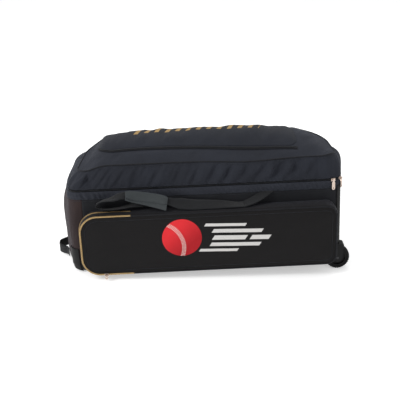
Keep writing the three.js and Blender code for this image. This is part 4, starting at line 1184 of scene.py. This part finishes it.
def strap_points(rows_x, rows_y, rows_z, lay, count):
    """A smooth route through places, with its width direction turned by lay."""
    route = np.stack([rows_x, rows_y, rows_z], -1)
    run = np.concatenate([[0], np.cumsum(np.linalg.norm(np.diff(route, axis=0), axis=1) ** 0.5)])
    rows = {"run": run, "x": route[:, 0], "y": route[:, 1], "z": route[:, 2], "lay": np.radians(lay)}
    fine = np.linspace(0, run[-1], 1500)
    line = np.stack([smooth_column(rows, "run", name, fine) for name in "xyz"], -1)
    length = np.concatenate([[0], np.cumsum(np.linalg.norm(np.diff(line, axis=0), axis=1))])
    at = np.interp(np.linspace(0, length[-1], count), length, fine)
    line = np.stack([smooth_column(rows, "run", name, at) for name in "xyz"], -1)
    turn = smooth_column(rows, "run", "lay", at)
    ahead = np.gradient(line, axis=0)
    ahead /= np.linalg.norm(ahead, axis=1, keepdims=True)
    across = np.stack([0 * turn, -np.sin(turn), -np.cos(turn)], -1)
    across -= ahead * (across * ahead).sum(1, keepdims=True)
    across /= np.linalg.norm(across, axis=1, keepdims=True)
    return line, across, np.cross(ahead, across)


def build_handle_end(line, across):
    """The front handle's right-hand end: it folds up from the pocket's top and goes under the zip band."""
    start, width = line[0], across[0] * STRAP_WIDTH / 2
    front, back = (start + width, start - width) if width[1] < 0 else (start - width, start + width)
    seam = []
    for x in HANDLE_SEAM:
        seam.append((x, front_wall(x, WALL_TOP) - 0.0012, WALL_TOP + 0.0012))
    u, v = np.meshgrid(np.linspace(0, 1, 26), np.linspace(0, 1, 14))
    low = back + (np.array(seam[0]) - back) * u[..., None]
    high = front + (np.array(seam[1]) - front) * u[..., None]
    points = low + (high - low) * v[..., None]
    points[..., 1] -= HANDLE_END_BULGE * np.sin(np.pi * u) * (0.5 + 0.5 * v)
    points[..., 2] -= HANDLE_END_SAG * np.sin(np.pi * u) * v
    dress(thicken(grid_object("handle_end_webbing", points), STRAP_THICKNESS), webbing, [])


def strap_object(name, line, across, face, width, sides=5):
    """Flat webbing with rounded edges: a ring of points round the width at every place."""
    flat = np.linspace(-1, 1, sides)
    edge = 1 - 0.35 * np.abs(flat) ** 6
    ring = [(a * width / 2, h * STRAP_THICKNESS / 2) for a, h in zip(flat, edge)]
    ring += [(a * width / 2, -h * STRAP_THICKNESS / 2) for a, h in zip(flat[::-1], edge[::-1])]
    ring = np.array(ring)
    count, total = len(line), len(ring)
    places = line[:, None] + ring[None, :, :1] * across[:, None] + ring[None, :, 1:] * face[:, None]
    run = np.concatenate([[0], np.cumsum(np.linalg.norm(np.diff(line, axis=0), axis=1))])
    faces, uv = [], []
    for i in range(count - 1):
        for s in range(total):
            t = (s + 1) % total
            faces.append([i * total + s, (i + 1) * total + s, (i + 1) * total + t, i * total + t])
            corners = ((i, s), (i + 1, s), (i + 1, t), (i, t))
            uv += [(run[place], ring[side, 0]) for place, side in corners]
    faces.append([s for s in range(total)])
    faces.append([(count - 1) * total + s for s in range(total)][::-1])
    uv += [(0, 0)] * (2 * total)
    return mesh_object(name, to_world(places.reshape(-1, 3)), faces, uv)


def edge_stitches(line, across, face, width):
    paths = []
    for side in (-1, 1):
        for front in (-1, 1):
            beside, above = side * (width / 2 - 0.003), front * (STRAP_THICKNESS / 2 + 0.0001)
            paths.append((line + beside * across + above * face, front * face, False))
    return paths


def fold_in_grip(line, across):
    """The webbing folds narrow inside the grip, and rises towards the grip's left end."""
    middle = (GRIP_FROM + GRIP_TO) / 2 * BODY_HALF_LENGTH
    reach = (GRIP_FROM - GRIP_TO) / 2 * BODY_HALF_LENGTH
    away = (line[:, 0] - middle) / reach
    held = step((1.7 - np.abs(away)) / 0.6) * (np.arange(len(line)) < len(line) * HANDLE_PASS)
    line = line.copy()
    line[:, 2] += GRIP_RISE * held * np.clip(0.5 - 0.5 * away, 0, 1)
    return line, across * (1 - GRIP_FOLD * held)[:, None]


def build_bowed_strap(name, x, y, height, width, count):
    """A strap that stands upright along its whole route. Gives back its rows of stitches."""
    line, across, face = strap_points(x, y, height, 0 * x, count)
    piece = strap_object(f"{name}_webbing", line, across, face, width)
    dress(piece, webbing, [name])
    return edge_stitches(line, across, face, width)


def build_handles():
    rows = HANDLE_ROUTE
    x = rows["at"] * BODY_HALF_LENGTH
    z = POCKET_TOP + HAIR + STRAP_THICKNESS / 2 + rows["up"] * STRAP_WIDTH
    y = front_wall(x, z) - HAIR - STRAP_THICKNESS / 2 - rows["off"] * POCKET_DEPTH
    line, across, face = strap_points(x, y, z, rows["lay"], 240)
    line, folded = fold_in_grip(line, across)
    piece = strap_object("front_handle_webbing", line, folded, face, STRAP_WIDTH, 9)
    dress(piece, webbing, ["front_handle"])
    build_handle_end(line, folded)
    stitches = edge_stitches(line, folded, face, STRAP_WIDTH)
    build_grip(line, across, face)
    x = np.linspace(BACK_SPAN, -BACK_SPAN, len(BACK_BOWS))
    height = np.full_like(x, BACK_HANDLE_HEIGHT)
    y = -front_wall(x, height) + HAIR + STRAP_THICKNESS / 2 + BACK_BOWS * BACK_BOW
    stitches += build_bowed_strap("back_handle", x, y, height, STRAP_WIDTH, 150)
    y = np.linspace(HAUL_SPAN, -HAUL_SPAN, len(HAUL_BOWS))
    k = 72 + 3 * (1 - y / (BODY_HALF_DEPTH - CORNER))
    height = np.full_like(y, HAUL_HEIGHT)
    x = body_point(k, height)[:, 0] - HAUL_STANDOFF - STRAP_THICKNESS / 2 - HAUL_BOWS * HAUL_BOW
    stitches += build_bowed_strap("haul_handle", x, y, height, HAUL_WIDTH, 110)
    rows_of("strap_stitches", "bead", stitches, STRAP_STITCH, thread)


def build_grip(line, across, face):
    """The padded wrap round the front handle, with a flap along its lower edge."""
    inside = (line[:, 0] < GRIP_FROM * BODY_HALF_LENGTH) & (line[:, 0] > GRIP_TO * BODY_HALF_LENGTH)
    inside &= np.arange(len(line)) < len(line) * HANDLE_PASS
    first = np.argmax(inside)
    last = first + np.argmin(inside[first:])
    share = np.linspace(0, 1, 60)
    at = first + share * (last - 1 - first)
    index = np.arange(len(line))
    centre, down, out = [
        np.stack([np.interp(at, index, part[:, i]) for i in range(3)], -1) for part in (line, across, face)]
    angle = np.linspace(0, 2 * np.pi, 40, endpoint=False)
    end = np.abs(2 * share - 1)
    swell = (1 - 0.22 * end ** 8) * (1 - 0.05 * end ** 2)
    high, deep = [
        size / 2 * swell[:, None] * np.sign(wave) * np.abs(wave)[None] ** 0.9
        for size, wave in ((GRIP_ROLL, np.cos(angle)), (GRIP_THICKNESS, np.sin(angle)))]
    points = centre[:, None] + high[..., None] * down[:, None] + deep[..., None] * out[:, None]
    crease = creases(GRIP_CREASES, *np.meshgrid(angle * 0.02, share * 0.14))
    points = points + grid_normals(points, True) * crease[..., None]
    first_cap = points[:1] * 0.35 + centre[0] * 0.65
    last_cap = points[-1:] * 0.35 + centre[-1] * 0.65
    rows = np.concatenate([first_cap, points, last_cap])
    piece = grid_object("grip_padding", rows, closed=True, cap_first=True, cap_last=True)
    piece = dress(piece, grip_cloth, ["grip_wrap"])
    flap_share = np.linspace(-0.2, 1.0, 9)[:, None, None]
    outward = out * np.sign(-out[:, 1:2])
    edge = centre + down * GRIP_ROLL * 0.4 + outward * (GRIP_THICKNESS * 0.42)
    hang = GRIP_FLAP * (1 - 0.75 * share)[None, :, None]
    flap = edge[None] + down[None] * flap_share * hang
    flap = flap + outward[None] * (0.0022 * np.sin(np.pi * flap_share))
    dress(thicken(grid_object("grip_flap", flap), 0.002), grip_cloth, [])


# Seams

def seam_path(point, stations, level, lift):
    """A line on a wall just outside its surface, with the directions that face out of it."""
    k, t = np.meshgrid(stations, [level - 0.004, level, level + 0.004])
    points = point(k, t)
    out = grid_normals(points, True)[1]
    return points[1] + out * lift, out, True


def build_seams():
    stations = ring_stations(0.006)
    lid_stations = ring_stations(0.006, LID_LEVEL)
    paths = [
        seam_path(body_point, stations, WALL_TOP - 0.0045, 0.0012),
        seam_path(body_point, stations, WALL_TOP + 0.0032, 0.0022),
        seam_path(lid_wall_point, lid_stations, 0.93, 0.0006),
        seam_path(lid_wall_point, lid_stations, 0.085, 0.0008),
    ]
    rows_of("seam_stitches", "block", paths, SEAM_STITCH, thread)
    ring = even_pocket(0, POCKET_ROUND, 0.005)[:-1]
    x, z = pocket_outline(ring, 0.0165)
    y = np.full_like(x, POCKET_FRONT + POCKET_PIPING - 0.0022)
    out = np.tile((0.0, -1.0, 0.0), (len(ring), 1))
    face_line = (np.stack([x, y, z], -1), out, True)
    rows_of("pocket_stitches", "block", [face_line], SEAM_STITCH, thread)


# Hard trim

PATCH_THICKNESS = 0.0026
GUARD_SPAN = (0.0057, 0.0855)
STRIP_SPAN = (0.0599, STRIP_TOP)


def build_trim():
    for name, start, end, (low, high), node in (
        ("guard_front", 78, 81, GUARD_SPAN, "corner_guard_front"),
        ("guard_back", 69, 72, GUARD_SPAN, "corner_guard_back"),
        ("strip_front", 37.4, 38.6, STRIP_SPAN, "side_strip_front"),
        ("strip_back", 47.4, 48.6, STRIP_SPAN, "side_strip_back"),
    ):
        stations = even_stations(start, end, 0.003)
        rows = np.linspace(low, high, max(int((high - low) / 0.004), 8))
        points = surface(body_point, stations, rows, lift=HAIR + PATCH_THICKNESS)
        dress(thicken(grid_object(name, points), PATCH_THICKNESS), moulded, [node])


TREAD_DEPTH = 0.0011
# A tyre's tread from edge to edge: shares of its width, and metres out from its radius
TREAD = table(
    "across out",
    (-0.43, -0.0090), (-0.5, -0.006), (-0.5, -0.003), (-0.44, -0.0008), (-0.31, 0.0), (-0.1, 0.0006),
    (0.1, 0.0006), (0.31, 0.0), (0.44, -0.0008), (0.5, -0.003), (0.5, -0.006), (0.43, -0.0090),
)


def build_wheels():
    """Tyres turned about their own axles, with slanted notches in the tread."""
    angle = np.linspace(0, 2 * np.pi, 120, endpoint=False)
    across = TREAD["across"][:, None] * WHEEL_WIDTH
    notch = (0.5 + 0.5 * np.sign(np.sin(angle * 30 + across * 120))) * (np.abs(across) > 0.004)
    radius = WHEEL_RADIUS - 0.0006 + TREAD["out"][:, None] - TREAD_DEPTH * notch
    rows, columns = radius.shape
    faces = []
    for j in range(rows):
        for i in range(columns):
            n = (i + 1) % columns
            a, b = j * columns, ((j + 1) % rows) * columns
            faces.append([a + i, b + i, b + n, a + n])
    for side in ("front", "back"):
        low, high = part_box(f"tyre_{side}")
        centre = np.array((low + high) / 2)
        offsets = [radius * np.cos(angle), np.broadcast_to(across, radius.shape), radius * np.sin(angle)]
        points = np.stack(offsets, -1) + centre
        tyre = mesh_object(f"{side}_tread", points.reshape(-1, 3), faces)
        dress(tyre, rubber, [f"tyre_{side}"], f"{side}_wheel")


def finish_cad_nodes():
    for material, names in (
        (moulded, "wheel_housing_front wheel_housing_back wheel_hub_front wheel_hub_back"),
        (steel, "axle_front axle_back"),
        (rose_metal, "main_pull_front_slider main_pull_front_tab main_pull_side_slider "
                     "main_pull_side_tab pocket_pull_slider pocket_pull_tab"),
    ):
        for name in names.split():
            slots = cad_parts[name].data.materials
            slots.clear()
            slots.append(material)


# Print

INK_EDGE = 0.0003


def bar_group():
    """Mask of a slanted bar in a plane: 1 on the bar, 0 off it. All lengths in metres."""
    tree, given, out = new_group(
        "slanted_bar",
        {"Across": ("Float", 0.0), "Up": ("Float", 0.0), "Middle Across": ("Float", 0.0),
         "Middle Up": ("Float", 0.0), "Half Length": ("Float", 0.05), "Half Height": ("Float", 0.005),
         "Slant": ("Float", 0.5)},
        {"Mask": "Float"})
    up = maths(tree, "SUBTRACT", given["Up"], given["Middle Up"])
    across = maths(tree, "SUBTRACT", given["Across"], given["Middle Across"])
    across = maths(tree, "SUBTRACT", across, maths(tree, "MULTIPLY", up, given["Slant"]))
    masks = []
    for place, half in ((across, "Half Length"), (up, "Half Height")):
        inside = maths(tree, "SUBTRACT", given[half], maths(tree, "ABSOLUTE", place))
        masks.append(ramp(tree, inside, -INK_EDGE, INK_EDGE))
    tree.links.new(maths(tree, "MULTIPLY", *masks), out["Mask"])
    return tree


def ball_group():
    """Masks of a ball and of its two rows of stitches, which bend with its seam."""
    tree, given, out = new_group(
        "stitched_ball",
        {"Across": ("Float", 0.0), "Up": ("Float", 0.0), "Middle Across": ("Float", 0.0),
         "Middle Up": ("Float", 0.0), "Radius": ("Float", 0.04)},
        {"Ball": "Float", "Stitches": "Float", "Shade": "Float"})
    across = maths(tree, "SUBTRACT", given["Across"], given["Middle Across"])
    up = maths(tree, "SUBTRACT", given["Up"], given["Middle Up"])

    def length(first, second):
        squares = [maths(tree, "MULTIPLY", side, side) for side in (first, second)]
        return maths(tree, "SQRT", maths(tree, "ADD", *squares))

    inside = maths(tree, "SUBTRACT", given["Radius"], length(across, up))
    ball = ramp(tree, inside, -INK_EDGE, INK_EDGE)
    beside = maths(tree, "ADD", across, maths(tree, "MULTIPLY", given["Radius"], 1.25))
    over = maths(tree, "ADD", up, maths(tree, "MULTIPLY", given["Radius"], 0.55))
    ring = maths(tree, "SUBTRACT", length(beside, over), maths(tree, "MULTIPLY", given["Radius"], 1.36))
    gap = maths(tree, "ABSOLUTE", maths(tree, "SUBTRACT", maths(tree, "ABSOLUTE", ring), 0.0042))
    row = ramp(tree, gap, 0.0024, 0.0018)
    turn = maths(tree, "ARCTAN2", over, beside)
    dash = ramp(tree, maths(tree, "SINE", maths(tree, "MULTIPLY", turn, 104.0)), 0.2, 0.4)
    middle = ramp(tree, maths(tree, "ABSOLUTE", ring), 0.0008, 0.0004)
    marks = maths(tree, "MAXIMUM", maths(tree, "MULTIPLY", row, dash), middle)
    tree.links.new(maths(tree, "MULTIPLY", marks, ball), out["Stitches"])
    tree.links.new(ball, out["Ball"])
    tree.links.new(ramp(tree, maths(tree, "SUBTRACT", up, across), -0.05, 0.05), out["Shade"])
    return tree


GROUPS["bar"] = bar_group()
GROUPS["ball"] = ball_group()

# White bars on the bat pocket: metres along and above the floor, half length and half height
POCKET_BARS = table(
    "across up half_length half_height",
    (0.066, 0.192, 0.064, 0.0046),
    (0.104, 0.172, 0.078, 0.0060),
    (0.080, 0.149, 0.052, 0.0074),
    (0.176, 0.149, 0.030, 0.0074),
    (0.098, 0.126, 0.078, 0.0060),
    (0.046, 0.106, 0.060, 0.0046),
)
BAR_SLANT = 0.6
BALL_PLACE = (-0.070, 0.149)
BALL_RADIUS = 0.062


def printed_cloth(name, colour, faded):
    """Cloth with its shader, its worn colour for a print to go over, its place and its weave."""
    material, tree, shader = new_material(
        name, Sheen_Weight=0.05, Sheen_Roughness=0.45, Specular_IOR_Level=0.2)
    weave = use(tree, "weave", {"Thread": 0.0009})
    worn = handle_cloth(tree, shader, colour, faded, weave["Shade"], weave["Height"], 0.8, WEAVE_DEPTH)
    place = put(tree, "ShaderNodeSeparateXYZ", {0: object_place(tree)}).outputs
    return material, tree, shader, worn, place, weave["Shade"]


def pocket_print_material():
    """The bat pocket's cloth with its print: a stitched red ball and white slanted bars."""
    material, tree, shader, colour, place, shade = printed_cloth(
        "printed_cloth", rgb(11, 10, 11), rgb(20, 18, 19))
    ink = 0.0
    for across, up, half_length, half_height in zip(*POCKET_BARS.values()):
        mask = use(tree, "bar", {
            "Across": place["X"], "Up": place["Z"], "Middle Across": float(across), "Middle Up": float(up),
            "Half Length": float(half_length), "Half Height": float(half_height), "Slant": BAR_SLANT})["Mask"]
        ink = maths(tree, "MAXIMUM", mask, ink)
    worn_ink = maths(tree, "MULTIPLY", ink, maths(tree, "MULTIPLY_ADD", shade, 0.16, 0.76))
    colour = mix_colour(tree, worn_ink, colour, rgb(206, 204, 202))
    ball = use(tree, "ball", {
        "Across": place["X"], "Up": place["Z"], "Middle Across": BALL_PLACE[0], "Middle Up": BALL_PLACE[1],
        "Radius": BALL_RADIUS})
    red = mix_colour(tree, ball["Shade"], rgb(158, 22, 30), rgb(206, 42, 48))
    colour = mix_colour(tree, ball["Ball"], colour, red)
    colour = mix_colour(tree, ball["Stitches"], colour, rgb(214, 206, 200))
    tree.links.new(colour, shader.inputs["Base Color"])
    return material


BADGE_PITCH = 0.0335
BADGE_REACH = (-0.215, 0.190)
BADGE_DEPTH = (0.012, 0.062)
BADGE_SLANT = 0.28


def badge_material():
    """The lid pocket's cloth with a row of plain gold bars across it."""
    material, tree, shader, colour, place, shade = printed_cloth(
        "barred_cloth", rgb(24, 26, 33), rgb(39, 42, 50))
    slanted = maths(tree, "MULTIPLY_ADD", place["Y"], -BADGE_SLANT, place["X"])
    turns = maths(tree, "FRACT", maths(tree, "DIVIDE", slanted, BADGE_PITCH))
    from_middle = maths(tree, "ABSOLUTE", maths(tree, "SUBTRACT", turns, 0.5))
    bars = ramp(tree, from_middle, 0.215, 0.2)
    reach = use(tree, "bar", {
        "Across": place["X"], "Up": place["Y"], "Middle Across": sum(BADGE_REACH) / 2,
        "Middle Up": sum(BADGE_DEPTH) / 2, "Half Length": (BADGE_REACH[1] - BADGE_REACH[0]) / 2,
        "Half Height": (BADGE_DEPTH[1] - BADGE_DEPTH[0]) / 2, "Slant": BADGE_SLANT})["Mask"]
    ink = maths(tree, "MULTIPLY", bars, reach)
    ink = maths(tree, "MULTIPLY", ink, maths(tree, "MULTIPLY_ADD", shade, 0.2, 0.7))
    tree.links.new(mix_colour(tree, ink, colour, rgb(168, 138, 88)), shader.inputs["Base Color"])
    return material


pocket_print = pocket_print_material()
barred_cloth = badge_material()


# Floor, light and camera

FLOOR_REACH = 6


def build_studio():
    corners = [(x * FLOOR_REACH, y * FLOOR_REACH, 0) for x, y in ((-1, -1), (1, -1), (1, 1), (-1, 1))]
    floor = mesh_object("floor", corners, [[0, 1, 2, 3]])
    material, tree, shader = new_material(
        "pale_floor", Roughness=0.9, Specular_IOR_Level=0.2,
        Emission_Color=(1, 1, 1, 1), Emission_Strength=0.45)
    faint = noise(tree, object_place(tree), 3.0)
    pale = mix_colour(tree, faint, (0.86, 0.86, 0.86, 1), (0.9, 0.9, 0.9, 1))
    tree.links.new(pale, shader.inputs["Base Color"])
    floor.data.materials.append(material)
    world = bpy.data.worlds.new("studio")
    bpy.context.scene.world = world
    world.use_nodes = True
    sky = world.node_tree.nodes["Background"].inputs
    sky["Color"].default_value = (1, 1, 1, 1)
    sky["Strength"].default_value = 0.58
    for name, place, size, power in (
        ("key", (-2.2, -1.5, 2.1), 1.1, 52),
        ("fill", (1.6, -2.4, 1.8), 1.6, 10),
        ("top", (0.2, 0.8, 3.0), 2.2, 34),
    ):
        lamp = bpy.data.lights.new(name, "AREA")
        lamp.size = size
        lamp.energy = power
        made = bpy.data.objects.new(name, lamp)
        bpy.context.scene.collection.objects.link(made)
        made.location = place
        made.rotation_euler = (Vector((0, 0, 0.2)) - Vector(place)).to_track_quat("-Z", "Y").to_euler()


CAMERA_AZIMUTH = -2.0
CAMERA_ELEVATION = 22.5
CAMERA_DISTANCE = 2.935
CAMERA_TARGET = (-0.007, -0.013, 0.1975)
LENS = 80.0


def build_camera():
    turn, rise = math.radians(CAMERA_AZIMUTH), math.radians(CAMERA_ELEVATION)
    back = Vector((math.sin(turn) * math.cos(rise), -math.cos(turn) * math.cos(rise), math.sin(rise)))
    data = bpy.data.cameras.new("camera")
    data.lens = LENS
    camera = bpy.data.objects.new("camera", data)
    bpy.context.scene.collection.objects.link(camera)
    camera.location = Vector(CAMERA_TARGET) + back * CAMERA_DISTANCE
    camera.rotation_euler = (-back).to_track_quat("-Z", "Y").to_euler()
    bpy.context.scene.camera = camera
    bpy.context.scene.view_settings.view_transform = "Standard"


build_walls()
build_tray()
build_main_zip()
build_lid()
build_top_pocket()
build_bat_pocket()
build_handles()
build_seams()
build_trim()
build_wheels()
finish_cad_nodes()
build_studio()
build_camera()
